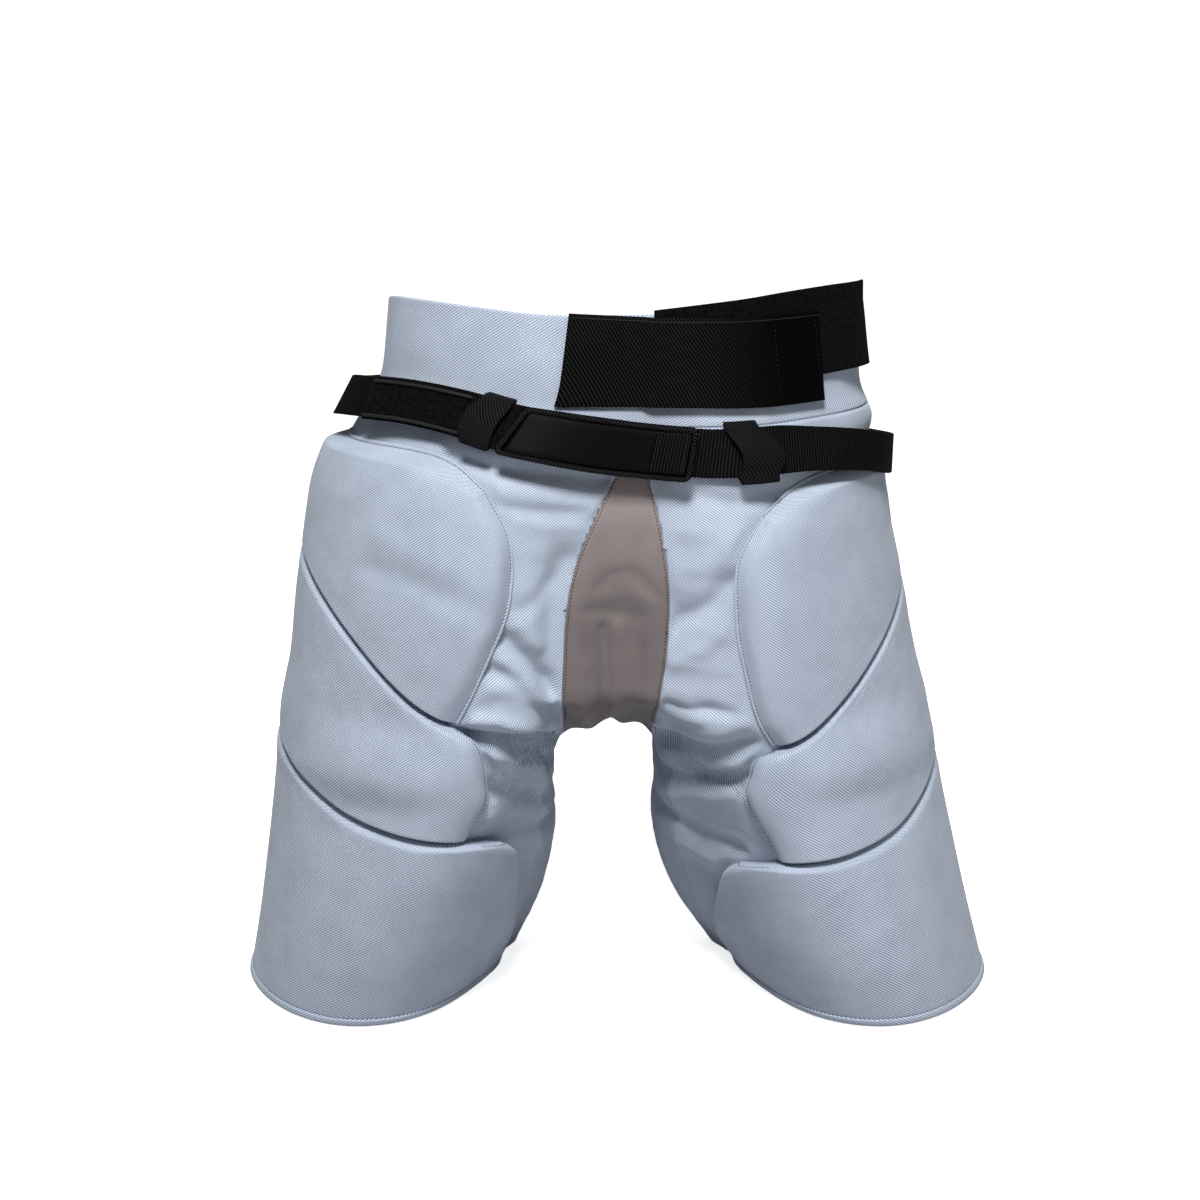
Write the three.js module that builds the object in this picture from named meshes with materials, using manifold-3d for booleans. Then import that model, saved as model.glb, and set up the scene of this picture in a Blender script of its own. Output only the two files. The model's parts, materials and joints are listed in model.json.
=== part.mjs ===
// Padded goalkeeper hip shorts that stand on their own leg hems.
// Millimetres, +Z up. The front of the shorts faces -Y and the wearer's right side faces -X.
// "left" and "right" are as seen from the front, so left is at -X.

import * as THREE from "three";
import { mergeVertices } from "three/addons/utils/BufferGeometryUtils.js";
import Module from "manifold-3d";

// Body: driving dimensions
const bodyHeight = 483;
const insideLeg = 187;
const hipHalfWidth = 190;
const hipHalfDepth = 120;
const clothWall = 2.5;
const waistbandWidth = 70;
const waistbandWall = 3;
const waistBackDrop = 30;
const waistLeftRise = 5;
const pieceGap = 0.35;

// How the empty shorts slump as they stand: the hips turn on the legs and the right leg spreads
const hipTwistDegrees = 6;
const waistLean = 15;
const legSplay = { left: 0, right: 25 };
const innerThighReach = 80;

// Thigh pads; the right ones sit lower, and reach forward most at one level
const padThickness = 16;
const padSeamThickness = 3.5;
const padBevel = 13;
const padGroove = 2;
const grooveRim = 6;
const grooveDepth = 5;
const rightPadDrop = 20;
const rightPadForward = 20;
const rightPadForwardLevel = 1.15;
const hemBandHeight = 6;
const hemBandThickness = 16;

// Waist closure: distances run along the cloth from the front centre, right positive
const elasticWidth = 60;
const elasticThickness = 2;
const elasticStart = -45;
const elasticEnd = 126;
const elasticRise = 0.5;
const loopPanelWidth = 56;
const loopPanelThickness = 2.5;
const loopPanelStart = 8;
const loopPanelEnd = 180;
const loopPanelPeel = 5;
const loopPanelRise = 3;
const loopPanelTiltDegrees = 3.2;

// Belt
const webbingWidth = 30;
const webbingThickness = 2;
const beltBelowElastic = 11;
const loopStrapWidth = 32;
const loopStrapThickness = 2.5;
const loopStrapStart = -190;
const loopStrapEnd = 20;
const tabWidth = 27;
const tabThickness = 4.5;
const tabStart = -72;
const tabEnd = 42;
const bindingWidth = 3.5;
const bindingThickness = 5.5;
const keeperWidth = 25;
const keeperThickness = 1.5;
const keeperLeftCentre = -90;
const keeperRightCentre = 82;

// The belt's line around the body: share runs 0 at the front centre to 1 at the back, left negative.
// rise is a share of webbingWidth above the front; low and high say how far the lower and upper
// edges stand off the cloth, 0 hugging it and 1 clear of a pad.
const beltLine = [
  { share: -1, rise: 0, low: 0.2, high: 0.2 },
  { share: -0.77, rise: 0.25, low: 0.9, high: 0.9 },
  { share: -0.6, rise: 0.5, low: 1, high: 1 },
  { share: -0.45, rise: 0.8, low: 1, high: 0.9 },
  { share: -0.34, rise: 0.78, low: 0.7, high: 0.7 },
  { share: -0.25, rise: 0.6, low: 0.35, high: 0.4 },
  { share: -0.145, rise: 0.3, low: 0.1, high: 0.1 },
  { share: 0.05, rise: 0.12, low: 0, high: 0 },
  { share: 0.22, rise: -0.05, low: 0.4, high: 0.1 },
  { share: 0.34, rise: -0.3, low: 1, high: 0.6 },
  { share: 0.45, rise: -0.7, low: 1, high: 0.9 },
  { share: 0.6, rise: -0.85, low: 1, high: 0.9 },
  { share: 0.77, rise: -0.5, low: 1, high: 0.7 },
  { share: 0.9, rise: -0.15, low: 0.3, high: 0.3 },
  { share: 1, rise: 0, low: 0.2, high: 0.2 },
];

// Fineness of the facets
const bodyLevels = [0, 0.14, 0.3, 0.46, 0.6, 0.74, 0.86, 0.93, 0.975, 1.02, 1.07, 1.12, 1.2, 1.31, 1.43,
  1.56, 1.66];
const arcSteps = 24;
const innerSteps = 7;
const curveSamples = 120;

// Horizontal sections of one half of the body, from the hem to the waist.
// level runs 0 at the floor, 1 at the crotch, 2 at the top of the waistband.
// out and y are shares of hipHalfWidth and hipHalfDepth; turns are headings in degrees.
// front and back are the ends of the outer arc, inner is the middle of the inner thigh.
const bodySections = [
  { level: 0, frontOut: 0.37, frontY: 0.34, frontTurn: -53, noseOut: 0.84, noseY: -0.64,
    sideOut: 1.25, sideY: 0.17, rearOut: 0.84, rearY: 1.04, backOut: 0.42, backY: 0.77, backTurn: 25,
    innerOut: 0.33, innerY: 0.55 },
  { level: 0.27, frontOut: 0.285, frontY: 0.1, frontTurn: -50, noseOut: 0.765, noseY: -0.77,
    sideOut: 1.2, sideY: 0.13, rearOut: 0.79, rearY: 1.06, backOut: 0.325, backY: 0.79, backTurn: 30,
    innerOut: 0.22, innerY: 0.42 },
  { level: 0.58, frontOut: 0.23, frontY: -0.25, frontTurn: -45, noseOut: 0.675, noseY: -0.87,
    sideOut: 1.15, sideY: 0.08, rearOut: 0.74, rearY: 1.06, backOut: 0.24, backY: 0.77, backTurn: 35,
    innerOut: 0.165, innerY: 0.21 },
  { level: 0.86, frontOut: 0.19, frontY: -0.45, frontTurn: -55, noseOut: 0.59, noseY: -0.93,
    sideOut: 1.11, sideY: 0.04, rearOut: 0.66, rearY: 1.06, backOut: 0.21, backY: 0.77, backTurn: 35,
    innerOut: 0.175, innerY: 0.15 },
  { level: 0.975, frontOut: 0.125, frontY: -0.2, frontTurn: -65, noseOut: 0.55, noseY: -0.97,
    sideOut: 1.1, sideY: 0.03, rearOut: 0.62, rearY: 1.06, backOut: 0.147, backY: 0.875, backTurn: 20,
    innerOut: 0.116, innerY: 0.3 },
  { level: 1.02, frontOut: 0, frontY: -0.25, frontTurn: -62, noseOut: 0.53, noseY: -0.985,
    sideOut: 1.09, sideY: 0.025, rearOut: 0.605, rearY: 1.06, backOut: 0, backY: 0.99, backTurn: 0,
    innerOut: 0, innerY: 0.3 },
  { level: 1.075, frontOut: 0, frontY: -0.62, frontTurn: -48, noseOut: 0.525, noseY: -0.99,
    sideOut: 1.08, sideY: 0.02, rearOut: 0.6, rearY: 1.06, backOut: 0, backY: 1.01, backTurn: 0,
    innerOut: 0, innerY: 0.2 },
  { level: 1.12, frontOut: 0, frontY: -0.88, frontTurn: -15, noseOut: 0.52, noseY: -0.995,
    sideOut: 1.065, sideY: 0.01, rearOut: 0.59, rearY: 1.06, backOut: 0, backY: 1.02, backTurn: 0,
    innerOut: 0, innerY: 0.1 },
  { level: 1.2, frontOut: 0, frontY: -0.935, frontTurn: 0, noseOut: 0.515, noseY: -1,
    sideOut: 1.04, sideY: 0, rearOut: 0.58, rearY: 1.06, backOut: 0, backY: 1.04, backTurn: 0,
    innerOut: 0, innerY: 0.04 },
  { level: 1.42, frontOut: 0, frontY: -0.94, frontTurn: 0, noseOut: 0.5, noseY: -0.99,
    sideOut: 0.995, sideY: 0, rearOut: 0.55, rearY: 1.02, backOut: 0, backY: 1.04, backTurn: 0,
    innerOut: 0, innerY: 0.04 },
  { level: 1.7, frontOut: 0, frontY: -0.9, frontTurn: 0, noseOut: 0.485, noseY: -0.89,
    sideOut: 0.915, sideY: 0, rearOut: 0.5, rearY: 0.9, backOut: 0, backY: 0.96, backTurn: 0,
    innerOut: 0, innerY: 0.04 },
  { level: 1.82, frontOut: 0, frontY: -0.865, frontTurn: 0, noseOut: 0.44, noseY: -0.79,
    sideOut: 0.85, sideY: 0, rearOut: 0.465, rearY: 0.815, backOut: 0, backY: 0.885, backTurn: 0,
    innerOut: 0, innerY: 0.04 },
  { level: 2, frontOut: 0, frontY: -0.835, frontTurn: 0, noseOut: 0.41, noseY: -0.74,
    sideOut: 0.815, sideY: 0, rearOut: 0.43, rearY: 0.765, backOut: 0, backY: 0.835, backTurn: 0,
    innerOut: 0, innerY: 0.04 },
];

// Folds and dents that are pressed into the outer cloth.
// reach is measured along the cloth from the side line, front negative, as a share of hipHalfWidth;
// run and width are shares of hipHalfWidth, depth is a share of clothWall, slope in degrees.
const folds = [
  { side: "left", reach: -1.15, level: 1.04, run: 0.26, width: 0.09, depth: 1.8, slope: -8 },
  { side: "right", reach: -1.15, level: 1, run: 0.28, width: 0.09, depth: 1.8, slope: 10 },
  { side: "left", reach: -0.9, level: 1.45, run: 0.22, width: 0.1, depth: 0.9, slope: -20 },
  { side: "left", reach: -1.2, level: 0.78, run: 0.2, width: 0.08, depth: 1.8, slope: -15 },
  { side: "right", reach: -1.18, level: 0.72, run: 0.2, width: 0.08, depth: 1.8, slope: 20 },
  { side: "right", reach: -1.25, level: 0.4, run: 0.2, width: 0.1, depth: 1.6, slope: 35 },
  { side: "left", reach: -0.75, level: 1.78, run: 0.3, width: 0.12, depth: 1.2, slope: 0 },
  { side: "right", reach: 0.9, level: 1.25, run: 0.35, width: 0.12, depth: 2, slope: 15 },
  { side: "left", reach: 0.9, level: 1.2, run: 0.35, width: 0.12, depth: 2, slope: -15 },
];

// Edges of the pads as [reach, level], reach along the cloth from the side line in shares of
// hipHalfWidth. Each edge runs front to back or bottom to top.
const padFrontHem = -1.48;
const padBackEdge = 0.6;
const upperTop = [[-0.81, 1.64], [-0.65, 1.692], [-0.47, 1.712], [-0.165, 1.71], [0.25, 1.7],
  [padBackEdge, 1.68]];
const upperFront = [[-0.85, 1.128], [-0.91, 1.25], [-0.965, 1.36], [-0.972, 1.43], [-0.955, 1.5],
  [-0.91, 1.565], [-0.81, 1.64]];
const upperGroove = [[-0.85, 1.118], [-0.7, 1.162], [-0.567, 1.217], [-0.4, 1.298], [-0.232, 1.373],
  [-0.05, 1.434], [0.25, 1.49], [padBackEdge, 1.51]];
const middleFront = [[-0.97, 0.765], [-0.99, 0.84], [-1.02, 0.93], [-1.01, 1], [-0.985, 1.04],
  [-0.93, 1.092], [-0.85, 1.118]];
const lowerGroove = [[-0.97, 0.755], [-0.87, 0.768], [-0.722, 0.784], [-0.503, 0.831], [-0.285, 0.915],
  [-0.126, 0.976], [0.15, 1.04], [padBackEdge, 1.07]];
const lowerTop = [[-1.15, 0.705], ...lowerGroove];
const lowerFront = [[padFrontHem, 0], [-1.5, 0.15], [-1.408, 0.393], [-1.27, 0.614], [-1.15, 0.705]];

// Outline of the crotch panel: x in shares of hipHalfWidth from its own middle, and level
const gussetMiddle = 0.06;
const gussetFront = [[-0.03, 1.72], [-0.065, 1.6], [-0.125, 1.48], [-0.175, 1.36], [-0.19, 1.2],
  [-0.19, 0.955], [0.15, 0.955], [0.165, 1.1], [0.19, 1.28], [0.195, 1.4], [0.165, 1.56], [0.1, 1.72]];
const gussetBack = [[-0.06, 1.5], [-0.16, 1.35], [-0.2, 1.15], [-0.19, 0.955], [0.15, 0.955],
  [0.18, 1.15], [0.14, 1.35], [0.06, 1.5]];

const wasm = await Module();
wasm.setup();

const radians = THREE.MathUtils.degToRad;
const smoothstep = THREE.MathUtils.smoothstep;
const signOf = { left: -1, right: 1 };

const heightAt = (level) =>
  level <= 1 ? level * insideLeg : insideLeg + (level - 1) * (bodyHeight - insideLeg);
const levelAt = (height) =>
  height <= insideLeg ? height / insideLeg : 1 + (height - insideLeg) / (bodyHeight - insideLeg);

// A column of the section table at any level, smooth from row to row
function sectionValue(name, level) {
  const last = bodySections.length - 1;
  const above = bodySections.findIndex((row) => row.level > level);
  const i = above < 0 ? last - 1 : Math.max(above - 1, 0);
  const slopeAt = (k) => {
    const low = bodySections[Math.max(k - 1, 0)];
    const high = bodySections[Math.min(k + 1, last)];
    return (high[name] - low[name]) / (high.level - low.level);
  };
  const low = bodySections[i];
  const high = bodySections[i + 1];
  const span = high.level - low.level;
  const t = THREE.MathUtils.clamp((level - low.level) / span, 0, 1);
  const rise = t * t * (3 - 2 * t);
  return low[name] + (high[name] - low[name]) * rise
    + t * (1 - t) * (1 - t) * span * slopeAt(i) - t * t * (1 - t) * span * slopeAt(i + 1);
}

const heading = (degrees) => new THREE.Vector2(Math.cos(radians(degrees)), Math.sin(radians(degrees)));

// A smooth curve through points that leaves the first and reaches the last in given directions
function smoothCurve(points, startTurn, endTurn) {
  const path = new THREE.CurvePath();
  const last = points.length - 1;
  const turnAt = (i) => {
    if (i === 0) return startTurn;
    if (i === last) return endTurn;
    return points[i + 1].clone().sub(points[i - 1]).normalize();
  };
  for (let i = 0; i < last; i++) {
    const reach = points[i].distanceTo(points[i + 1]) / 3;
    path.add(new THREE.CubicBezierCurve(
      points[i],
      points[i].clone().addScaledVector(turnAt(i), reach),
      points[i + 1].clone().addScaledVector(turnAt(i + 1), -reach),
      points[i + 1],
    ));
  }
  return path;
}

// The section of one half before it slumps: the outer arc, and the inner thigh's curve
const sectionCache = new Map();
function section(height) {
  const key = height.toFixed(3);
  if (sectionCache.has(key)) return sectionCache.get(key);
  const level = levelAt(height);
  const point = (name) => new THREE.Vector2(
    sectionValue(`${name}Out`, level) * hipHalfWidth,
    sectionValue(`${name}Y`, level) * hipHalfDepth,
  );
  const frontTurn = heading(sectionValue("frontTurn", level));
  const backTurn = heading(180 + sectionValue("backTurn", level));
  const outer = smoothCurve(["front", "nose", "side", "rear", "back"].map(point), frontTurn, backTurn);
  const thigh = smoothCurve(["back", "inner", "front"].map(point),
    heading(180 + sectionValue("backTurn", level) * 2), heading(sectionValue("frontTurn", level) * 1.4));
  const result = {
    outer: outer.getSpacedPoints(curveSamples),
    length: outer.getLength(),
    frontLength: outer.getCurveLengths()[1],
    thigh: thigh.getSpacedPoints(innerSteps),
  };
  sectionCache.set(key, result);
  return result;
}

// The slump: spread legs, leaning waist and turned hips
function slump(side, point, height) {
  const share = height / bodyHeight;
  const outer = THREE.MathUtils.clamp(point.x / innerThighReach, 0, 1);
  const spread = legSplay[side] * Math.max(0, 1 - share / 0.68) * outer;
  const turn = radians(hipTwistDegrees) * smoothstep(share, 0, 0.55);
  const moved = new THREE.Vector2(signOf[side] * (point.x + spread), point.y)
    .rotateAround(new THREE.Vector2(), turn);
  return new THREE.Vector3(moved.x + waistLean * smoothstep(share, 0.74, 0.92), moved.y, height);
}

function smoothPoint(side, reach, height) {
  const shape = section(height);
  const position = THREE.MathUtils.clamp((shape.frontLength + reach) / shape.length, 0, 1) * curveSamples;
  const i = Math.min(Math.floor(position), curveSamples - 1);
  return slump(side, shape.outer[i].clone().lerp(shape.outer[i + 1], position - i), height);
}

// Level direction that points out of the cloth; the two halves share it on the mid-plane
function outwardAt(side, reach, height) {
  const step = 3;
  const direction = (half) => {
    const run = smoothPoint(half, reach + step, height).sub(smoothPoint(half, reach - step, height));
    const sign = signOf[half];
    return new THREE.Vector3(sign * run.y, -sign * run.x, 0).normalize();
  };
  const shape = section(height);
  const own = direction(side);
  const atMidPlane = reach <= -shape.frontLength || reach >= shape.length - shape.frontLength;
  if (!atMidPlane || levelAt(height) < 1) return own;
  return own.add(direction(side === "left" ? "right" : "left")).normalize();
}

function foldDepth(side, reach, height) {
  let depth = 0;
  for (const fold of folds) {
    if (fold.side !== side) continue;
    const across = new THREE.Vector2(reach - fold.reach * hipHalfWidth, height - heightAt(fold.level))
      .rotateAround(new THREE.Vector2(), -radians(fold.slope));
    const along = across.x / (fold.run * hipHalfWidth);
    const away = across.y / (fold.width * hipHalfWidth);
    depth += fold.depth * clothWall * Math.exp(-along * along - away * away);
  }
  return depth;
}

// A point of the outer cloth, lifted off it by a distance.
// reach is the way along the cloth from the side line, negative to the front.
function clothPoint(side, reach, height, lift = 0) {
  const point = smoothPoint(side, reach, height);
  const shape = section(height);
  const fromFront = shape.frontLength + reach;
  const fromBack = shape.length - fromFront;
  const fade = smoothstep(Math.min(fromFront, fromBack), 0, 0.1 * hipHalfWidth);
  const depth = foldDepth(side, reach, height) * fade;
  return point.addScaledVector(outwardAt(side, reach, height), lift - depth);
}

// The same by share of a half hoop: 0 at the front centre, 1 at the back centre, left negative
function hoopPoint(share, height, lift) {
  const shape = section(height);
  const reach = Math.abs(share) * shape.length - shape.frontLength;
  return clothPoint(share < 0 ? "left" : "right", reach, height, lift);
}

function toGeometry(positions, index) {
  const geometry = new THREE.BufferGeometry();
  geometry.setAttribute("position", new THREE.Float32BufferAttribute(positions, 3));
  geometry.setIndex(index);
  return geometry;
}

// Turns a closed body's faces outwards and makes it a solid that can be joined and cut
function toSolid(geometry) {
  const bare = new THREE.BufferGeometry();
  bare.setAttribute("position", geometry.getAttribute("position"));
  if (geometry.index) bare.setIndex(geometry.index);
  const merged = mergeVertices(bare, 1e-4);
  const vertices = merged.getAttribute("position").array;
  const triangles = new Uint32Array(merged.index.array);
  const corner = (k) => new THREE.Vector3().fromArray(vertices, triangles[k] * 3);
  let volume = 0;
  for (let k = 0; k < triangles.length; k += 3) {
    volume += corner(k).dot(corner(k + 1).cross(corner(k + 2)));
  }
  if (volume < 0) {
    for (let k = 0; k < triangles.length; k += 3) {
      [triangles[k + 1], triangles[k + 2]] = [triangles[k + 2], triangles[k + 1]];
    }
  }
  return new wasm.Manifold(new wasm.Mesh({
    numProp: 3,
    vertProperties: new Float32Array(vertices),
    triVerts: triangles,
  }));
}

// A solid between two grids of points, both [column][row]; it may close on itself
function plate(innerGrid, outerGrid, closed = false) {
  const columns = innerGrid.length;
  const rows = innerGrid[0].length;
  const positions = [...innerGrid, ...outerGrid].flat().flatMap((point) => point.toArray());
  const index = [];
  const vertex = (layer, column, row) => (layer * columns + (column % columns)) * rows + row;
  const quad = (a, b, c, d) => index.push(a, b, c, a, c, d);
  const spans = closed ? columns : columns - 1;
  for (let i = 0; i < spans; i++) {
    for (let j = 0; j < rows - 1; j++) {
      quad(vertex(1, i, j), vertex(1, i + 1, j), vertex(1, i + 1, j + 1), vertex(1, i, j + 1));
      quad(vertex(0, i, j), vertex(0, i, j + 1), vertex(0, i + 1, j + 1), vertex(0, i + 1, j));
    }
    quad(vertex(0, i, 0), vertex(0, i + 1, 0), vertex(1, i + 1, 0), vertex(1, i, 0));
    const top = rows - 1;
    quad(vertex(0, i, top), vertex(1, i, top), vertex(1, i + 1, top), vertex(0, i + 1, top));
  }
  if (!closed) {
    for (let j = 0; j < rows - 1; j++) {
      const end = columns - 1;
      quad(vertex(0, 0, j), vertex(1, 0, j), vertex(1, 0, j + 1), vertex(0, 0, j + 1));
      quad(vertex(0, end, j), vertex(0, end, j + 1), vertex(1, end, j + 1), vertex(1, end, j));
    }
  }
  return toSolid(toGeometry(positions, index));
}

// A solid through stacked rings of points, closed by its first and last ring
function loft(rings) {
  const count = rings[0].length;
  const positions = rings.flat().flatMap((point) => point.toArray());
  const index = [];
  for (let k = 0; k < rings.length - 1; k++) {
    for (let i = 0; i < count; i++) {
      const a = k * count + i;
      const b = k * count + (i + 1) % count;
      index.push(a, b, b + count, a, b + count, a + count);
    }
  }
  const cap = (ring, start, facing) => {
    const contour = ring.map((point) => new THREE.Vector2(point.x, point.y));
    const turn = Math.sign(THREE.ShapeUtils.area(contour)) * facing;
    for (const [a, b, c] of THREE.ShapeUtils.triangulateShape(contour, [])) {
      const along = THREE.ShapeUtils.area([contour[a], contour[b], contour[c]]) * turn > 0;
      index.push(start + a, start + (along ? b : c), start + (along ? c : b));
    }
  };
  cap(rings[0], 0, -1);
  cap(rings[rings.length - 1], (rings.length - 1) * count, 1);
  return toSolid(toGeometry(positions, index));
}

// One half of the body as a solid whose cloth is lifted by a distance.
// Above the crotch it runs a little past the mid-plane, so that the halves join.
function halfBody(side, lift, pastEnds, topHeight) {
  const heights = bodyLevels.map(heightAt).filter((height) => height < topHeight - 8);
  heights.push(topHeight);
  const overlap = 2;
  const ring = (height) => {
    const shape = section(height);
    const above = smoothstep(levelAt(height), 0.985, 1.015);
    const points = [];
    for (let i = 0; i <= arcSteps; i++) {
      points.push(clothPoint(side, (i / arcSteps) * shape.length - shape.frontLength, height, lift));
    }
    for (let j = 1; j < innerSteps; j++) {
      const before = shape.thigh[j - 1];
      const after = shape.thigh[j + 1];
      const away = new THREE.Vector2(before.y - after.y, after.x - before.x).normalize();
      const flat = shape.thigh[j].clone();
      flat.addScaledVector(away, -lift * (1 - above));
      flat.x -= overlap * above * Math.sin((Math.PI * j) / innerSteps);
      points.push(slump(side, flat, height));
    }
    return points;
  };
  const ceiling = (height) => -lift * Math.exp(-(((levelAt(height) - 1.04) / 0.12) ** 2));
  const rings = heights.map((height) => {
    const shift = lift < 0 ? ceiling(height) : 0;
    return ring(height).map((point) => point.setZ(height + shift));
  });
  if (pastEnds > 0) {
    rings.unshift(rings[0].map((point) => point.clone().setZ(-pastEnds)));
    rings.push(rings[rings.length - 1].map((point) => point.clone().setZ(topHeight + pastEnds)));
  }
  return loft(rings);
}

const waistbandBottom = bodyHeight - waistbandWidth;
const shellTop = waistbandBottom - pieceGap;
const cutPast = 6;

function bodySolid(lift, pastEnds, topHeight) {
  return halfBody("left", lift, pastEnds, topHeight).add(halfBody("right", lift, pastEnds, topHeight));
}

// Crotch panel: the stretch of the body's cloth inside an outline, front and back
function gussetCutter(grow) {
  const side = (outline, near, far) => {
    const flat = outline.map(([x, level]) => new THREE.Vector2(x * hipHalfWidth, heightAt(level)));
    const middle = flat.reduce((sum, point) => sum.add(point), new THREE.Vector2()).divideScalar(flat.length);
    const grown = flat.map((point, i) => {
      const before = flat[(i + flat.length - 1) % flat.length];
      const after = flat[(i + 1) % flat.length];
      const away = new THREE.Vector2(after.y - before.y, before.x - after.x).normalize();
      if (away.dot(point.clone().sub(middle)) < 0) away.negate();
      return point.clone().addScaledVector(away, grow);
    });
    const outlineShape = new THREE.Shape(grown);
    const prism = new THREE.ExtrudeGeometry(outlineShape, { depth: far - near, bevelEnabled: false });
    prism.rotateX(Math.PI / 2);
    prism.translate(gussetMiddle * hipHalfWidth, far, 0);
    return toSolid(prism);
  };
  const reach = 2 * hipHalfDepth;
  return side(gussetFront, -reach, 0).add(side(gussetBack, -0.5, reach));
}

function makeShellAndGusset() {
  const cloth = bodySolid(0, 0, shellTop).subtract(bodySolid(-clothWall, cutPast, shellTop));
  return {
    shell: cloth.subtract(gussetCutter(pieceGap / 2)),
    gusset: cloth.intersect(gussetCutter(-pieceGap / 2)),
  };
}

// Pads: a patch between four edges, lifted off the cloth and thinned to its seams
function edgeCurve(points) {
  return new THREE.SplineCurve(points.map(([reach, level]) => new THREE.Vector2(reach, level)));
}

function padPatch({ front, bottom, top }) {
  const lowEdge = edgeCurve(bottom);
  const highEdge = edgeCurve(top);
  const frontEdge = edgeCurve(front);
  const backEdge = edgeCurve([bottom[bottom.length - 1], top[top.length - 1]]);
  return (s, t) => {
    const across = lowEdge.getPointAt(s).multiplyScalar(1 - t).add(highEdge.getPointAt(s).multiplyScalar(t));
    const up = frontEdge.getPointAt(t).multiplyScalar(1 - s).add(backEdge.getPointAt(t).multiplyScalar(s));
    const corners = lowEdge.getPointAt(0).multiplyScalar((1 - s) * (1 - t))
      .add(lowEdge.getPointAt(1).multiplyScalar(s * (1 - t)))
      .add(highEdge.getPointAt(0).multiplyScalar((1 - s) * t))
      .add(highEdge.getPointAt(1).multiplyScalar(s * t));
    return across.add(up).sub(corners);
  };
}

// Shares from 0 to 1 with one narrow step at each end
function spread(count, first, last, crowd = 1) {
  const shares = [0, first];
  for (let i = 1; i < count; i++) shares.push(first + (1 - last - first) * (i / count) ** crowd);
  shares.push(1 - last, 1);
  return shares;
}

function makePad(side, pad, bodyCutter) {
  const patch = padPatch(pad);
  const drop = side === "right" ? rightPadDrop : 0;
  const place = (s, t, lift) => {
    const spot = patch(s, t);
    const height = heightAt(spot.y);
    const lowered = height - drop * smoothstep(spot.y, 0, 0.6);
    const groove = pad.lowered * (1 - t) + pad.raised * t;
    const nearness = Math.exp(-(((spot.y - rightPadForwardLevel) / 0.16) ** 2));
    const forward = side === "right" ? rightPadForward * nearness : 0;
    const reach = spot.x * hipHalfWidth - forward * Math.max(0, -spot.x);
    return clothPoint(side, reach, Math.max(lowered + groove, pad.floor), lift);
  };
  const width = edgeCurve(pad.bottom).getLength() * hipHalfWidth;
  const tall = edgeCurve(pad.front).getLength() * (bodyHeight - insideLeg) * 0.8;
  const soft = { rim: padBevel, lift: padSeamThickness };
  const groove = { rim: grooveRim, lift: padThickness - grooveDepth };
  const [low, high] = [pad.lowEdge, pad.highEdge].map((kind) => (kind === "soft" ? soft : groove));
  const columns = spread(pad.columns, soft.rim / width, soft.rim / width, 1.3);
  const rows = spread(5, low.rim / tall, high.rim / tall);
  const ramp = (edge, distance) =>
    edge.lift + (padThickness - edge.lift) * Math.min(1, distance / edge.rim);
  const thickness = (s, t) => Math.min(
    ramp(soft, s * width),
    ramp(soft, (1 - s) * width),
    ramp(low, t * tall),
    ramp(high, (1 - t) * tall),
  );
  const under = columns.map((s) => rows.map((t) => place(s, t, -clothWall)));
  const over = columns.map((s) => rows.map((t) => place(s, t, pieceGap + thickness(s, t))));
  return plate(under, over).subtract(bodyCutter);
}

const pads = {
  upper_pad: {
    columns: 10, front: upperFront, bottom: upperGroove, top: upperTop, lowEdge: "groove", highEdge: "soft",
    lowered: padGroove / 2, raised: 0, floor: 0,
  },
  middle_pad: {
    columns: 11, front: middleFront, bottom: lowerGroove, top: upperGroove, lowEdge: "groove",
    highEdge: "groove", lowered: padGroove / 2, raised: -padGroove / 2, floor: 0,
  },
  lower_pad: {
    columns: 15, front: lowerFront, bottom: [[padFrontHem, 0], [padBackEdge, 0]], top: lowerTop,
    lowEdge: "groove", highEdge: "groove", lowered: hemBandHeight + pieceGap, raised: -padGroove / 2,
    floor: hemBandHeight + pieceGap,
  },
};

function makeHemBand(side, bodyCutter) {
  const columns = [];
  const steps = 18;
  for (let i = 0; i <= steps; i++) {
    columns.push((padFrontHem + ((padBackEdge - padFrontHem) * i) / steps) * hipHalfWidth);
  }
  const rows = [0, hemBandHeight];
  const grid = (lift) => columns.map((reach) => rows.map((height) => clothPoint(side, reach, height, lift)));
  return plate(grid(-clothWall), grid(pieceGap + hemBandThickness)).subtract(bodyCutter);
}

// Waist pieces lie on hoops around the body; their ends are stations that every hoop shares
const waistLength = section(bodyHeight).length;
const beltCentre = bodyHeight - elasticWidth - beltBelowElastic - webbingWidth / 2;
const beltLength = section(beltCentre).length;
const waistShare = (distance) => distance / waistLength;
const beltShare = (distance) => distance / beltLength;

function stationsBetween(first, last, extra) {
  const regular = [];
  for (let i = -arcSteps; i <= arcSteps; i++) regular.push(i / arcSteps);
  const wanted = [...regular, ...extra].filter((share) => share > first + 1e-6 && share < last - 1e-6);
  return [first, ...wanted.sort((a, b) => a - b), last]
    .filter((share, i, all) => i === 0 || share - all[i - 1] > 1e-4);
}

// A strip of a hoop. low, high, liftLow and liftHigh are functions of the share, and rows are
// heights between its edges that it shares with the cloth under it.
function strip({ first, last, extra, low, high, liftLow, liftHigh, thickness, rows = [], closed = false }) {
  const shares = stationsBetween(first, last, extra);
  if (closed) shares.pop();
  const grid = (more) => shares.map((share) => [
    hoopPoint(share, low(share), liftLow(share) + more),
    ...rows.map((height) => hoopPoint(share, height, (liftLow(share) + liftHigh(share)) / 2 + more)),
    hoopPoint(share, high(share), liftHigh(share) + more),
  ]);
  return plate(grid(0), grid(thickness), closed);
}

const waistRows = [0, 0.25, 0.5, 0.75, 1];

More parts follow.
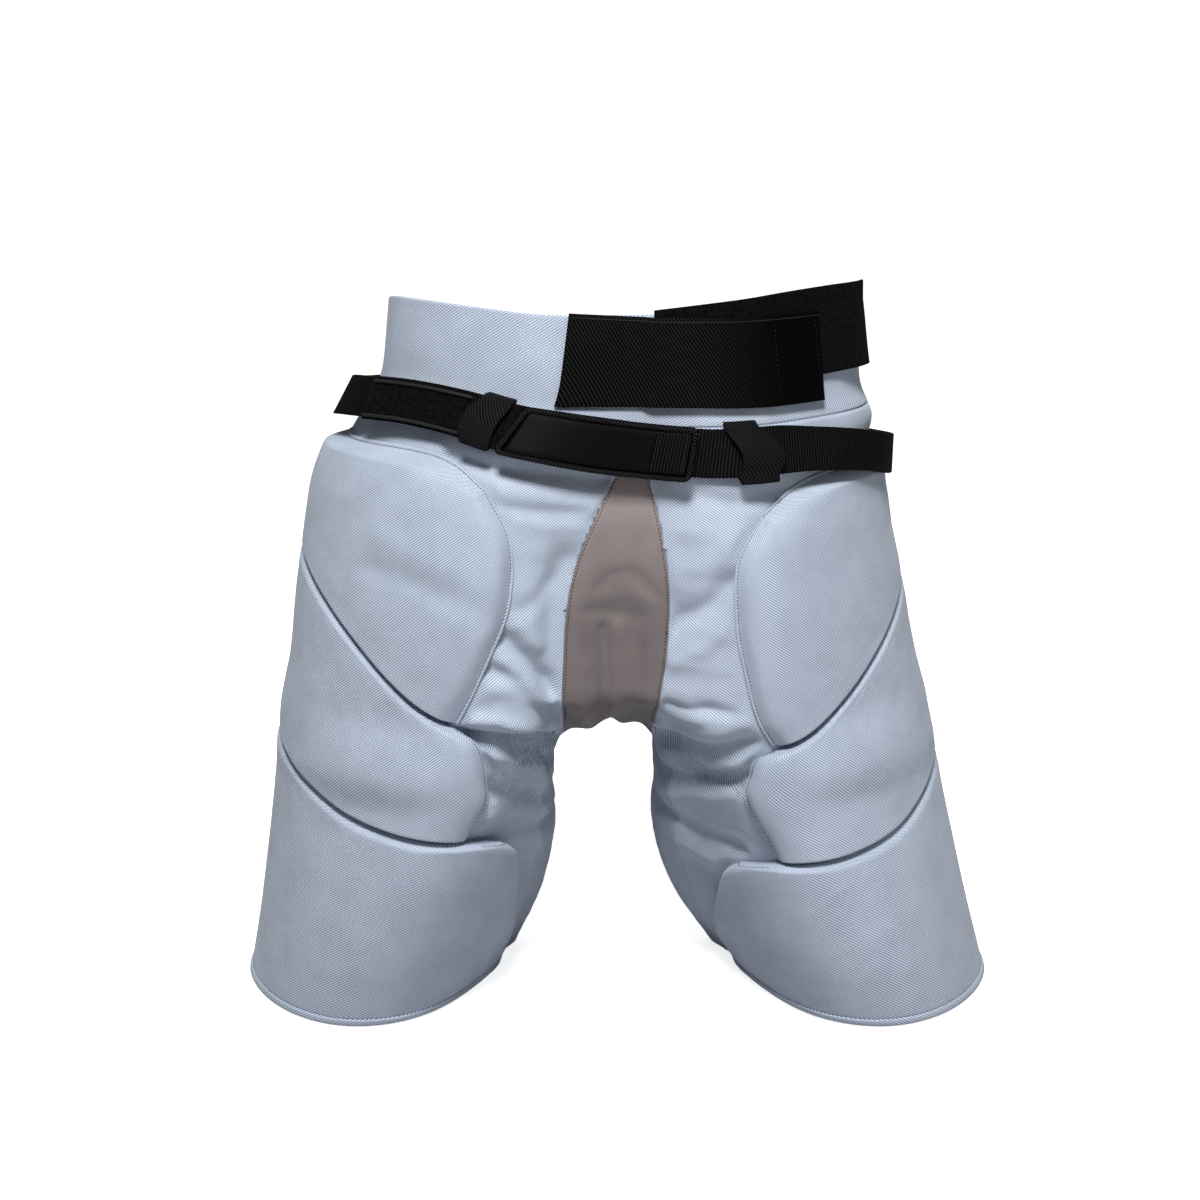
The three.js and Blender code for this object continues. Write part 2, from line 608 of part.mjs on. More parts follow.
function makeWaistband() {
  const shares = stationsBetween(-1, 1, []);
  shares.pop();
  const grid = (lift) => shares.map((share) => {
    const top = bodyHeight + waistLeftRise * smoothstep(-share, 0.1, 0.4)
      - (waistBackDrop + (share < 0 ? waistLeftRise : 0)) * smoothstep(Math.abs(share), 0.42, 0.85);
    return waistRows.map((row) => hoopPoint(share, THREE.MathUtils.lerp(waistbandBottom, top, row), lift));
  });
  return plate(grid(-waistbandWall), grid(0), true);
}

const elasticClimb = 8;
const closureEnds = [
  elasticStart, elasticEnd, loopPanelStart - elasticClimb, loopPanelStart, loopPanelEnd,
].map(waistShare);
const panelLift = 2 * pieceGap;
const elasticOverPanel = panelLift + loopPanelThickness + pieceGap;
const rowHeights = waistRows.map((row) => THREE.MathUtils.lerp(waistbandBottom, bodyHeight, row));

function makeLoopPanel() {
  const start = waistShare(loopPanelStart);
  const rise = Math.tan(radians(loopPanelTiltDegrees)) * waistLength;
  const top = (share) => bodyHeight + loopPanelRise + rise * (share - start);
  const lift = (share) =>
    panelLift + loopPanelPeel * smoothstep(share, waistShare(elasticEnd + 10), waistShare(loopPanelEnd));
  return strip({
    first: start,
    last: waistShare(loopPanelEnd),
    extra: closureEnds,
    low: (share) => top(share) - loopPanelWidth,
    high: top,
    liftLow: (share) => lift(share) + pieceGap,
    liftHigh: lift,
    rows: rowHeights.slice(2, 5),
    thickness: loopPanelThickness,
  });
}

function makeElastic() {
  const climbStart = waistShare(loopPanelStart - elasticClimb);
  const climbEnd = waistShare(loopPanelStart);
  const climb = (share) => THREE.MathUtils.clamp((share - climbStart) / (climbEnd - climbStart), 0, 1);
  const lift = (share) => THREE.MathUtils.lerp(panelLift, elasticOverPanel, climb(share));
  return strip({
    first: waistShare(elasticStart),
    last: waistShare(elasticEnd),
    extra: closureEnds,
    low: () => bodyHeight + elasticRise - elasticWidth,
    high: () => bodyHeight + elasticRise,
    liftLow: (share) => lift(share) + pieceGap,
    liftHigh: lift,
    rows: rowHeights.slice(1, 4),
    thickness: elasticThickness,
  });
}

// Belt: it stands off the cloth at the left side and climbs over the pad at the right
const keeperLift = 2 * pieceGap;
const beltLift = keeperLift + keeperThickness + pieceGap;
const overPad = padThickness + 3 * pieceGap;
const beltEnds = [
  loopStrapStart, loopStrapEnd, tabStart, tabEnd, tabStart + bindingWidth, tabEnd - bindingWidth,
  keeperLeftCentre - keeperWidth / 2, keeperLeftCentre + keeperWidth / 2,
  keeperRightCentre - keeperWidth / 2, keeperRightCentre + keeperWidth / 2,
].map(beltShare);

function beltValue(name, share) {
  const i = Math.max(1, beltLine.findIndex((row) => row.share >= share - 1e-9));
  const [from, to] = [beltLine[i - 1], beltLine[i]];
  const t = THREE.MathUtils.clamp((share - from.share) / (to.share - from.share), 0, 1);
  return THREE.MathUtils.lerp(from[name], to[name], t * t * (3 - 2 * t));
}
const beltStand = (edge, share) => beltLift + (overPad - beltLift) * beltValue(edge, share);
const beltHeight = (share) => beltCentre + webbingWidth * beltValue("rise", share);

function beltStrip({ first, last, width, under, thickness, closed = false }) {
  return strip({
    first,
    last,
    extra: beltEnds,
    low: (share) => beltHeight(share) - width / 2,
    high: (share) => beltHeight(share) + width / 2,
    liftLow: (share) => beltStand("low", share) + under,
    liftHigh: (share) => beltStand("high", share) + under,
    thickness,
    closed,
  });
}

const loopStrapLift = webbingThickness + pieceGap;
const tabLift = loopStrapLift + loopStrapThickness + pieceGap;

function makeKeeper(centre, stack, held) {
  const first = beltShare(centre - keeperWidth / 2);
  const last = beltShare(centre + keeperWidth / 2);
  const hole = held + 2 * pieceGap;
  const outside = beltStrip({
    first, last, width: hole + 2 * keeperThickness, under: keeperLift - beltLift,
    thickness: beltLift - keeperLift + stack + pieceGap + keeperThickness,
  });
  const inside = beltStrip({
    first: first - 0.01, last: last + 0.01, width: hole, under: -pieceGap,
    thickness: stack + 2 * pieceGap,
  });
  return outside.subtract(inside);
}

function makeBinding() {
  const outer = beltStrip({
    first: beltShare(tabStart), last: beltShare(tabEnd), width: tabWidth + 2 * bindingWidth,
    under: tabLift, thickness: bindingThickness,
  });
  const inner = beltStrip({
    first: beltShare(tabStart + bindingWidth), last: beltShare(tabEnd - bindingWidth), width: tabWidth,
    under: tabLift - cutPast, thickness: bindingThickness + 2 * cutPast,
  });
  return outer.subtract(inner);
}

function makeTab() {
  const inset = bindingWidth + pieceGap;
  return beltStrip({
    first: beltShare(tabStart + inset), last: beltShare(tabEnd - inset), width: tabWidth - 2 * pieceGap,
    under: tabLift, thickness: tabThickness,
  });
}

const cloth = { color: 0x9aa6bd, roughness: 0.85, metalness: 0 };
const padCloth = { color: 0xa3aec4, roughness: 0.8, metalness: 0 };
const taupe = { color: 0x8d8487, roughness: 0.75, metalness: 0 };
const blackWebbing = { color: 0x141416, roughness: 0.7, metalness: 0 };
const blackFleece = { color: 0x101012, roughness: 0.95, metalness: 0 };
const blackRubber = { color: 0x18181a, roughness: 0.45, metalness: 0 };

const shorts = new THREE.Group();

function addPiece(name, solid, look) {
  const { vertProperties, triVerts } = solid.simplify(0.005).getMesh();
  const geometry = toGeometry(vertProperties, Array.from(triVerts));
  geometry.computeVertexNormals();
  const mesh = new THREE.Mesh(geometry, new THREE.MeshStandardMaterial(look));
  mesh.name = name;
  shorts.add(mesh);
}

const { shell, gusset } = makeShellAndGusset();
addPiece("shell", shell, cloth);
addPiece("gusset", gusset, taupe);
addPiece("waistband", makeWaistband(), cloth);
for (const side of ["left", "right"]) {
  const bodyCutter = halfBody(side, pieceGap, cutPast, bodyHeight);
  for (const [name, pad] of Object.entries(pads)) {
    addPiece(`${side}_${name}`, makePad(side, pad, bodyCutter), padCloth);
  }
  addPiece(`${side}_hem_band`, makeHemBand(side, bodyCutter), cloth);
}
addPiece("elastic_strap", makeElastic(), blackWebbing);
addPiece("loop_panel", makeLoopPanel(), blackFleece);
addPiece("belt_webbing", beltStrip({
  first: -1, last: 1, width: webbingWidth, under: 0, thickness: webbingThickness, closed: true,
}), blackWebbing);
addPiece("belt_loop_strap", beltStrip({
  first: beltShare(loopStrapStart), last: beltShare(loopStrapEnd), width: loopStrapWidth,
  under: loopStrapLift, thickness: loopStrapThickness,
}), blackFleece);
addPiece("belt_tab", makeTab(), blackRubber);
addPiece("tab_binding", makeBinding(), blackWebbing);
const strapStack = loopStrapLift + loopStrapThickness;
addPiece("left_keeper", makeKeeper(keeperLeftCentre, strapStack, loopStrapWidth), blackWebbing);
addPiece("right_keeper", makeKeeper(keeperRightCentre, webbingThickness, webbingWidth), blackWebbing);

// The origin is the middle of the footprint box, on the floor
const box = new THREE.Box3().setFromObject(shorts);
shorts.position.set(-(box.min.x + box.max.x) / 2, -(box.min.y + box.max.y) / 2, -box.min.z);
shorts.updateMatrixWorld(true);

export default shorts;
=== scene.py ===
# %% [markdown]
# # Padded goalkeeper hip shorts
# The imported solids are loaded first. They give the size and the place of every piece. Each of them is
# then replaced by a finer piece of cloth, foam or webbing, because a plain solid shows no seams or folds.
# The front of the shorts faces -Y, and left is -X, as seen from the front. Lengths are in millimetres in
# this script and become metres when a mesh is made.

import bpy
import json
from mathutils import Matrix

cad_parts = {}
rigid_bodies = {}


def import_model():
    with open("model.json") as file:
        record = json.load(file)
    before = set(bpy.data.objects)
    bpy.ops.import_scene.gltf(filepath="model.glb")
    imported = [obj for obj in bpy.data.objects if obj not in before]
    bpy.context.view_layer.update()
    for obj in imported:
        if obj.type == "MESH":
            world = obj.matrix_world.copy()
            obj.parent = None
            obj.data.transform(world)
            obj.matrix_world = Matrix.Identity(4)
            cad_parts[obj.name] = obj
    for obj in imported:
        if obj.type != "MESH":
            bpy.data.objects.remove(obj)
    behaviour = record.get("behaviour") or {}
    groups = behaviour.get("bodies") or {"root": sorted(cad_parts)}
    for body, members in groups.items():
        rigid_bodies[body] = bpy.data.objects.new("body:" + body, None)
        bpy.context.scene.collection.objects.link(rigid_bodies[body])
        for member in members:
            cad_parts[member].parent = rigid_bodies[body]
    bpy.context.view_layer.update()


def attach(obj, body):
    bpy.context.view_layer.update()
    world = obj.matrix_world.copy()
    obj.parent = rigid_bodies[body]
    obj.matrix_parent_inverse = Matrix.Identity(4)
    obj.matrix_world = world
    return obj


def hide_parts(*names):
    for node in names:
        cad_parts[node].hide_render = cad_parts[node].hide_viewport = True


for old in list(bpy.data.objects):
    bpy.data.objects.remove(old)
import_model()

import json
import math

import bmesh
import numpy as np
from mathutils import Vector, noise
from mathutils.bvhtree import BVHTree
from mathutils.kdtree import KDTree

# %% [markdown]
# ## Sizes
# The names and the numbers are those of the solid model, so that the cloth follows it closely.

# %% Sizes of the shorts
BODY_HEIGHT = 483
INSIDE_LEG = 187
HIP_HALF_WIDTH = 190
HIP_HALF_DEPTH = 120
CLOTH_WALL = 2.5
WAISTBAND_WIDTH = 70
WAISTBAND_WALL = 3
WAIST_BACK_DROP = 30
WAIST_LEFT_RISE = 5
PIECE_GAP = 0.35
HIP_TWIST = math.radians(6)
WAIST_LEAN = 15
RIGHT_LEG_SPLAY = 25
INNER_THIGH_REACH = 80
FRAME_SHIFT = np.array([-12.5, 2.2876, 0])
LEFT, RIGHT = -1, 1

PAD_THICKNESS = 16
PAD_GROOVE = 1.2
RIGHT_PAD_DROP = 20
RIGHT_PAD_FORWARD = 20
RIGHT_PAD_FORWARD_LEVEL = 1.15
HEM_BAND_HEIGHT = 6

ELASTIC_WIDTH = 60
ELASTIC_THICKNESS = 2
ELASTIC_START, ELASTIC_END = -45, 126
ELASTIC_RISE = 0.5
LOOP_PANEL_WIDTH = 56
LOOP_PANEL_THICKNESS = 2.5
LOOP_PANEL_START, LOOP_PANEL_END = 8, 180
LOOP_PANEL_PEEL = 5
LOOP_PANEL_RISE = 3
LOOP_PANEL_TILT = math.radians(3.2)

WEBBING_WIDTH = 30
WEBBING_THICKNESS = 2
BELT_BELOW_ELASTIC = 11
LOOP_STRAP_WIDTH = 32
LOOP_STRAP_THICKNESS = 2.5
LOOP_STRAP_START, LOOP_STRAP_END = -190, 20
TAB_WIDTH = 27
TAB_THICKNESS = 4.5
TAB_START, TAB_END = -72, 42
BINDING_WIDTH = 3.5
BINDING_THICKNESS = 5.5
KEEPER_WIDTH = 25
KEEPER_THICKNESS = 1.5
KEEPER_LEFT, KEEPER_RIGHT = -90, 82
print("hips:", 2 * HIP_HALF_WIDTH, "by", 2 * HIP_HALF_DEPTH, "mm, height:", BODY_HEIGHT, "mm")

# %% [markdown]
# ## The body as a surface
# One half of the shorts is described by a few level sections. Each row below gives, at one level, where the
# section's points lie and in which direction it starts and ends. Smooth curves between the rows give the
# body at any height. The same could be sculpted by hand, but the layers of the belt and of the pads then
# could not be laid on it at exact distances.

# %% Sections of one half of the body
SECTION_NAMES = ("level", "frontOut", "frontY", "frontTurn", "noseOut", "noseY", "sideOut", "sideY",
                 "rearOut", "rearY", "backOut", "backY", "backTurn", "innerOut", "innerY")
BODY_SECTIONS = np.array([
    (0, 0.37, 0.34, -53, 0.84, -0.64, 1.25, 0.17, 0.84, 1.04, 0.42, 0.77, 25, 0.33, 0.55),
    (0.27, 0.285, 0.1, -50, 0.765, -0.77, 1.2, 0.13, 0.79, 1.06, 0.325, 0.79, 30, 0.22, 0.42),
    (0.58, 0.23, -0.25, -45, 0.675, -0.87, 1.15, 0.08, 0.74, 1.06, 0.24, 0.77, 35, 0.165, 0.21),
    (0.86, 0.19, -0.45, -55, 0.59, -0.93, 1.11, 0.04, 0.66, 1.06, 0.21, 0.77, 35, 0.175, 0.15),
    (0.975, 0.125, -0.2, -65, 0.55, -0.97, 1.1, 0.03, 0.62, 1.06, 0.147, 0.875, 20, 0.116, 0.3),
    (1.02, 0, -0.25, -62, 0.53, -0.985, 1.09, 0.025, 0.605, 1.06, 0, 0.99, 0, 0, 0.3),
    (1.075, 0, -0.62, -48, 0.525, -0.99, 1.08, 0.02, 0.6, 1.06, 0, 1.01, 0, 0, 0.2),
    (1.12, 0, -0.88, -15, 0.52, -0.995, 1.065, 0.01, 0.59, 1.06, 0, 1.02, 0, 0, 0.1),
    (1.2, 0, -0.935, 0, 0.515, -1, 1.04, 0, 0.58, 1.06, 0, 1.04, 0, 0, 0.04),
    (1.42, 0, -0.94, 0, 0.5, -0.99, 0.995, 0, 0.55, 1.02, 0, 1.04, 0, 0, 0.04),
    (1.7, 0, -0.9, 0, 0.485, -0.89, 0.915, 0, 0.5, 0.9, 0, 0.96, 0, 0, 0.04),
    (1.82, 0, -0.865, 0, 0.44, -0.79, 0.85, 0, 0.465, 0.815, 0, 0.885, 0, 0, 0.04),
    (2, 0, -0.835, 0, 0.41, -0.74, 0.815, 0, 0.43, 0.765, 0, 0.835, 0, 0, 0.04),
])
print("sections:", len(BODY_SECTIONS))


# %% Levels, heights and the values between two sections
def smoothstep(x, start, end):
    """0 before start, 1 after end, and a soft step between them."""
    t = np.clip((np.asarray(x, float) - start) / (end - start), 0, 1)
    return t * t * (3 - 2 * t)


def height_at(level):
    """Height in mm of a level: 1 is the crotch and 2 the top of the waistband."""
    level = np.asarray(level, float)
    return np.where(level <= 1, level * INSIDE_LEG, INSIDE_LEG + (level - 1) * (BODY_HEIGHT - INSIDE_LEG))


def level_at(height):
    height = np.asarray(height, float)
    above = 1 + (height - INSIDE_LEG) / (BODY_HEIGHT - INSIDE_LEG)
    return np.where(height <= INSIDE_LEG, height / INSIDE_LEG, above)


def section_values(level):
    """Every column of the section table at one level, smooth from row to row."""
    levels, last = BODY_SECTIONS[:, 0], len(BODY_SECTIONS) - 1
    i = int(np.clip(np.searchsorted(levels, level, side="right") - 1, 0, last - 1))

    def slope(k):
        low, high = BODY_SECTIONS[max(k - 1, 0)], BODY_SECTIONS[min(k + 1, last)]
        return (high - low) / (high[0] - low[0])

    low, high = BODY_SECTIONS[i], BODY_SECTIONS[i + 1]
    span = high[0] - low[0]
    t = float(np.clip((level - low[0]) / span, 0, 1))
    rise = t * t * (3 - 2 * t)
    values = low + (high - low) * rise + t * (1 - t) ** 2 * span * slope(i) - t * t * (1 - t) * span * slope(i + 1)
    return dict(zip(SECTION_NAMES, values))


print("crotch at", round(float(height_at(1))), "mm, waist at", round(float(height_at(2))), "mm")

# %% Smooth curves through a section's points
CURVE_STEPS = 60
ARC_SAMPLES = 240
THIGH_SAMPLES = 48


def heading(degrees):
    return np.array([math.cos(math.radians(degrees)), math.sin(math.radians(degrees))])


def smooth_curve(points, start_turn, end_turn):
    """Points along a smooth curve, and the distance along it at each of them."""
    turns = [start_turn]
    for before, after in zip(points[:-2], points[2:]):
        turns.append((after - before) / np.linalg.norm(after - before))
    turns.append(end_turn)
    t = np.linspace(0, 1, CURVE_STEPS + 1)[:, None]
    path = [points[0][None]]
    for i in range(len(points) - 1):
        a, d = points[i], points[i + 1]
        reach = np.linalg.norm(d - a) / 3
        b, c = a + turns[i] * reach, d - turns[i + 1] * reach
        curve = a * (1 - t) ** 3 + 3 * b * t * (1 - t) ** 2 + 3 * c * t * t * (1 - t) + d * t ** 3
        path.append(curve[1:])
    path = np.concatenate(path)
    steps = np.linalg.norm(np.diff(path, axis=0), axis=1)
    return path, np.concatenate([[0], np.cumsum(steps)])


def spaced(path, along, count):
    wanted = np.linspace(0, along[-1], count + 1)
    return np.stack([np.interp(wanted, along, path[:, k]) for k in (0, 1)], axis=1)


# %% The table of sections, one for each millimetre of height
ROW_START = -4
ROW_COUNT = 510
arc_table = np.zeros((ROW_COUNT, ARC_SAMPLES + 1, 2))
thigh_table = np.zeros((ROW_COUNT, THIGH_SAMPLES + 1, 2))
arc_length = np.zeros(ROW_COUNT)
arc_front = np.zeros(ROW_COUNT)
for row in range(ROW_COUNT):
    value = section_values(float(level_at(ROW_START + row)))
    scale = np.array([HIP_HALF_WIDTH, HIP_HALF_DEPTH])
    spot = {n: np.array([value[n + "Out"], value[n + "Y"]]) * scale
            for n in ("front", "nose", "side", "rear", "back", "inner")}
    outer, along = smooth_curve([spot[n] for n in ("front", "nose", "side", "rear", "back")],
                                heading(value["frontTurn"]), heading(180 + value["backTurn"]))
    thigh, thigh_along = smooth_curve([spot[n] for n in ("back", "inner", "front")],
                                      heading(180 + 2 * value["backTurn"]), heading(1.4 * value["frontTurn"]))
    arc_table[row] = spaced(outer, along, ARC_SAMPLES)
    thigh_table[row] = spaced(thigh, thigh_along, THIGH_SAMPLES)
    arc_length[row] = along[-1]
    arc_front[row] = along[2 * CURVE_STEPS]
print("half hoop at the waist:", round(arc_length[BODY_HEIGHT - ROW_START]), "mm")

# %% [markdown]
# ## Points on the cloth
# A point of the cloth is named by its side, its reach and its height. Reach is the way along the cloth from
# the line down the side, negative towards the front. A lift moves the point straight out of the cloth.

# %% Points on the cloth
def table_row(height):
    row = np.clip(np.asarray(height, float) - ROW_START, 0, ROW_COUNT - 1.001)
    low = row.astype(int)
    return low, row - low


def from_table(table, height):
    low, part = table_row(height)
    return table[low] * (1 - part) + table[low + 1] * part


def slump(side, flat, height):
    """The spread right leg, the leaning waist and the turned hips."""
    share = np.asarray(height, float) / BODY_HEIGHT
    outer = np.clip(flat[..., 0] / INNER_THIGH_REACH, 0, 1)
    splay = np.where(np.asarray(side) > 0, RIGHT_LEG_SPLAY, 0)
    x = side * (flat[..., 0] + splay * np.maximum(0, 1 - share / 0.68) * outer)
    y = flat[..., 1]
    turn = HIP_TWIST * smoothstep(share, 0, 0.55)
    lean = WAIST_LEAN * smoothstep(share, 0.74, 0.92)
    return np.stack([x * np.cos(turn) - y * np.sin(turn) + lean, x * np.sin(turn) + y * np.cos(turn),
                     np.broadcast_to(height, x.shape)], axis=-1)


# %% The smooth cloth and the way out of it
def unit(ways):
    """Directions made one long."""
    return ways / np.maximum(np.linalg.norm(ways, axis=-1, keepdims=True), 1e-9)


def smooth_point(side, reach, height):
    side, reach, height = np.broadcast_arrays(side, np.asarray(reach, float), np.asarray(height, float))
    low, part = table_row(height)
    share = (from_table(arc_front, height) + reach) / from_table(arc_length, height)
    place = np.clip(share, 0, 1) * ARC_SAMPLES
    i = np.minimum(place.astype(int), ARC_SAMPLES - 1)
    f, part = (place - i)[..., None], part[..., None]

    def on_row(k):
        return arc_table[k, i] * (1 - f) + arc_table[k, i + 1] * f

    return slump(side, on_row(low) * (1 - part) + on_row(low + 1) * part, height)


def end_distances(reach, height):
    """How far a point lies from the front and the back mid-plane, along the cloth."""
    from_front = from_table(arc_front, height) + reach
    return from_front, from_table(arc_length, height) - from_front


def outward(side, reach, height):
    """The level direction out of the cloth. Both halves share it at the mid-plane."""
    side, reach, height = np.broadcast_arrays(side, np.asarray(reach, float), np.asarray(height, float))

    def own(half):
        run = smooth_point(half, reach + 3, height) - smooth_point(half, reach - 3, height)
        return unit(np.stack([half * run[..., 1], -half * run[..., 0], np.zeros_like(reach)], axis=-1))

    near = 1 - smoothstep(np.minimum(*end_distances(reach, height)), 0, 12)
    near = near * smoothstep(level_at(height), 0.99, 1.02)
    return unit(own(side) + near[..., None] * own(-side))


# %% [markdown]
# ## Folds
# The big folds are those of the solid model: soft dents with a place, a length, a width, a depth and a
# slope. Depth is a share of the cloth's wall, and the rest are shares of half the hips' width.

# %% Folds of the solid model
FOLDS = (
    # side, reach, level, run, width, depth, slope in degrees
    (LEFT, -1.15, 1.04, 0.26, 0.09, 1.8, -8),
    (RIGHT, -1.15, 1, 0.28, 0.09, 1.8, 10),
    (LEFT, -0.9, 1.45, 0.22, 0.1, 0.9, -20),
    (LEFT, -1.2, 0.78, 0.2, 0.08, 1.8, -15),
    (RIGHT, -1.18, 0.72, 0.2, 0.08, 1.8, 20),
    (RIGHT, -1.25, 0.4, 0.2, 0.1, 1.6, 35),
    (LEFT, -0.75, 1.78, 0.3, 0.12, 1.2, 0),
    (RIGHT, 0.9, 1.25, 0.35, 0.12, 2, 15),
    (LEFT, 0.9, 1.2, 0.35, 0.12, 2, -15),
    (RIGHT, -0.1, 1.735, 0.34, 0.075, -2.2, 0),
)


def fold_depth(side, reach, height):
    depth = np.zeros(np.broadcast(side, reach, height).shape)
    for fold_side, at, level, run, width, deep, slope in FOLDS:
        x = reach - at * HIP_HALF_WIDTH
        y = height - float(height_at(level))
        turn = -math.radians(slope)
        along = (x * math.cos(turn) - y * math.sin(turn)) / (run * HIP_HALF_WIDTH)
        away = (x * math.sin(turn) + y * math.cos(turn)) / (width * HIP_HALF_WIDTH)
        depth = depth + (np.asarray(side) == fold_side) * deep * CLOTH_WALL * np.exp(-along ** 2 - away ** 2)
    return depth * smoothstep(np.minimum(*end_distances(reach, height)), 0, 0.1 * HIP_HALF_WIDTH)


print("big folds:", len(FOLDS))


# %% The folded cloth
def cloth_point(side, reach, height, lift=0.0, folded=1.0):
    """A point of the outer cloth, lifted off it by a distance. Folded 0 leaves the big folds out."""
    side, reach, height, lift = np.broadcast_arrays(side, np.asarray(reach, float), np.asarray(height, float),
                                                    np.asarray(lift, float))
    off = lift - folded * fold_depth(side, reach, height)
    return smooth_point(side, reach, height) + outward(side, reach, height) * off[..., None]


def hoop_point(share, height, lift):
    """The same by share of a half hoop: 0 at the front centre, 1 at the back centre, left negative."""
    share, height, lift = np.broadcast_arrays(np.asarray(share, float), np.asarray(height, float),
                                              np.asarray(lift, float))
    reach = np.abs(share) * from_table(arc_length, height) - from_table(arc_front, height)
    return cloth_point(np.where(share < 0, LEFT, RIGHT), reach, height, lift)


print("top of the waistband at the front:", np.round(hoop_point(0.0, BODY_HEIGHT, 0.0) + FRAME_SHIFT, 1))

# %% [markdown]
# ## Making a mesh from a grid
# Cloth, foam and webbing are all grids of points here: a grid for the outer face, a grid for the inner face
# and walls between them. The UV map is the flat cloth in metres, so a weave keeps its size and follows the
# surface.

# %% A mesh from points and faces
MM = 0.001


def new_mesh(name, points, faces, corner_uv=None):
    """A smooth-shaded piece from points in mm and faces as rows of four indices."""
    mesh = bpy.data.meshes.new(name)
    points = (np.asarray(points) + FRAME_SHIFT) * MM
    mesh.vertices.add(len(points))
    mesh.vertices.foreach_set("co", points.astype(np.float32).ravel())
    mesh.loops.add(faces.size)
    mesh.loops.foreach_set("vertex_index", faces.astype(np.int32).ravel())
    mesh.polygons.add(len(faces))
    mesh.polygons.foreach_set("loop_start", np.arange(0, faces.size, 4, dtype=np.int32))
    if corner_uv is not None:
        layer = mesh.uv_layers.new(name="flat_cloth")
        layer.data.foreach_set("uv", (corner_uv * MM).astype(np.float32).ravel())
    mesh.update(calc_edges=True)
    mesh.validate()
    mesh.polygons.foreach_set("use_smooth", np.ones(len(mesh.polygons), bool))
    piece = bpy.data.objects.new(name, mesh)
    bpy.context.scene.collection.objects.link(piece)
    return piece


def wear(piece, node):
    """The piece moves with the shorts and takes a solid's place."""
    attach(piece, "root")
    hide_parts(node)
    return piece


def side_name(side, name):
    return f"{'left' if side == LEFT else 'right'}_{name}"


# %% A closed plate between two grids
def grid_corners(values):
    """The four corner values of every cell of a grid."""
    return np.stack([values[:-1, :-1], values[1:, :-1], values[1:, 1:], values[:-1, 1:]], axis=2)


def plate(name, under, over, u, v, closed=False):
    """A closed piece between two grids [column][row]. u and v are the flat cloth's distances in mm."""
    columns, rows = over.shape[:2]
    ids = np.arange(columns * rows).reshape(columns, rows)
    if closed:
        ids = np.concatenate([ids, ids[:1]])
    shape = (ids.shape[0], rows)
    u = np.broadcast_to(u if np.ndim(u) == 2 else np.asarray(u, float)[:, None], shape)
    v = np.broadcast_to(v if np.ndim(v) == 2 else np.asarray(v, float)[None, :], shape)
    flat = np.stack([u, v], axis=-1)
    top = columns * rows
    cells = grid_corners(ids).reshape(-1, 4)
    cell_uv = grid_corners(flat).reshape(-1, 4, 2)
    faces = [cells + top, cells[:, ::-1]]
    uvs = [cell_uv, cell_uv[:, ::-1]]
    for row, turned in ((0, False), (rows - 1, True)):
        wall = np.stack([ids[:-1, row], ids[1:, row], ids[1:, row] + top, ids[:-1, row] + top], axis=1)
        edge = np.stack([flat[:-1, row], flat[1:, row], flat[1:, row], flat[:-1, row]], axis=1)
        edge = edge + np.array([[0, -2], [0, -2], [0, 0], [0, 0]]) * (-1 if turned else 1)
        faces.append(wall[:, ::-1] if turned else wall)
        uvs.append(edge[:, ::-1] if turned else edge)
    if not closed:
        for column, turned in ((0, True), (columns - 1, False)):
            wall = np.stack([ids[column, :-1], ids[column, 1:], ids[column, 1:] + top, ids[column, :-1] + top],
                            axis=1)
            edge = np.stack([flat[column, :-1], flat[column, 1:], flat[column, 1:], flat[column, :-1]], axis=1)
            edge = edge + np.array([[-2, 0], [-2, 0], [0, 0], [0, 0]]) * (1 if turned else -1)
            faces.append(wall[:, ::-1] if turned else wall)
            uvs.append(edge[:, ::-1] if turned else edge)
    points = np.concatenate([under.reshape(-1, 3), over.reshape(-1, 3)])
    faces, uvs = np.concatenate(faces), np.concatenate(uvs)
    a, b, c, d = (points[faces[:, k]] for k in range(4))
    volume = (a * np.cross(b, c)).sum() + (a * np.cross(c, d)).sum()
    if volume < 0:
        faces, uvs = faces[:, ::-1], uvs[:, ::-1]
    return new_mesh(name, points, faces, uvs)


def measured(piece):
    """The piece's area in square metres, half of its surface because a sheet has two faces."""
    return sum(p.area for p in piece.data.polygons) / 2


# %% [markdown]
# ## Fine folds
# The small folds are drawn as lines on the front, as with a crease brush in sculpt mode. Each line has a
# width and a depth, and the cloth near it is moved out or in along its own direction.

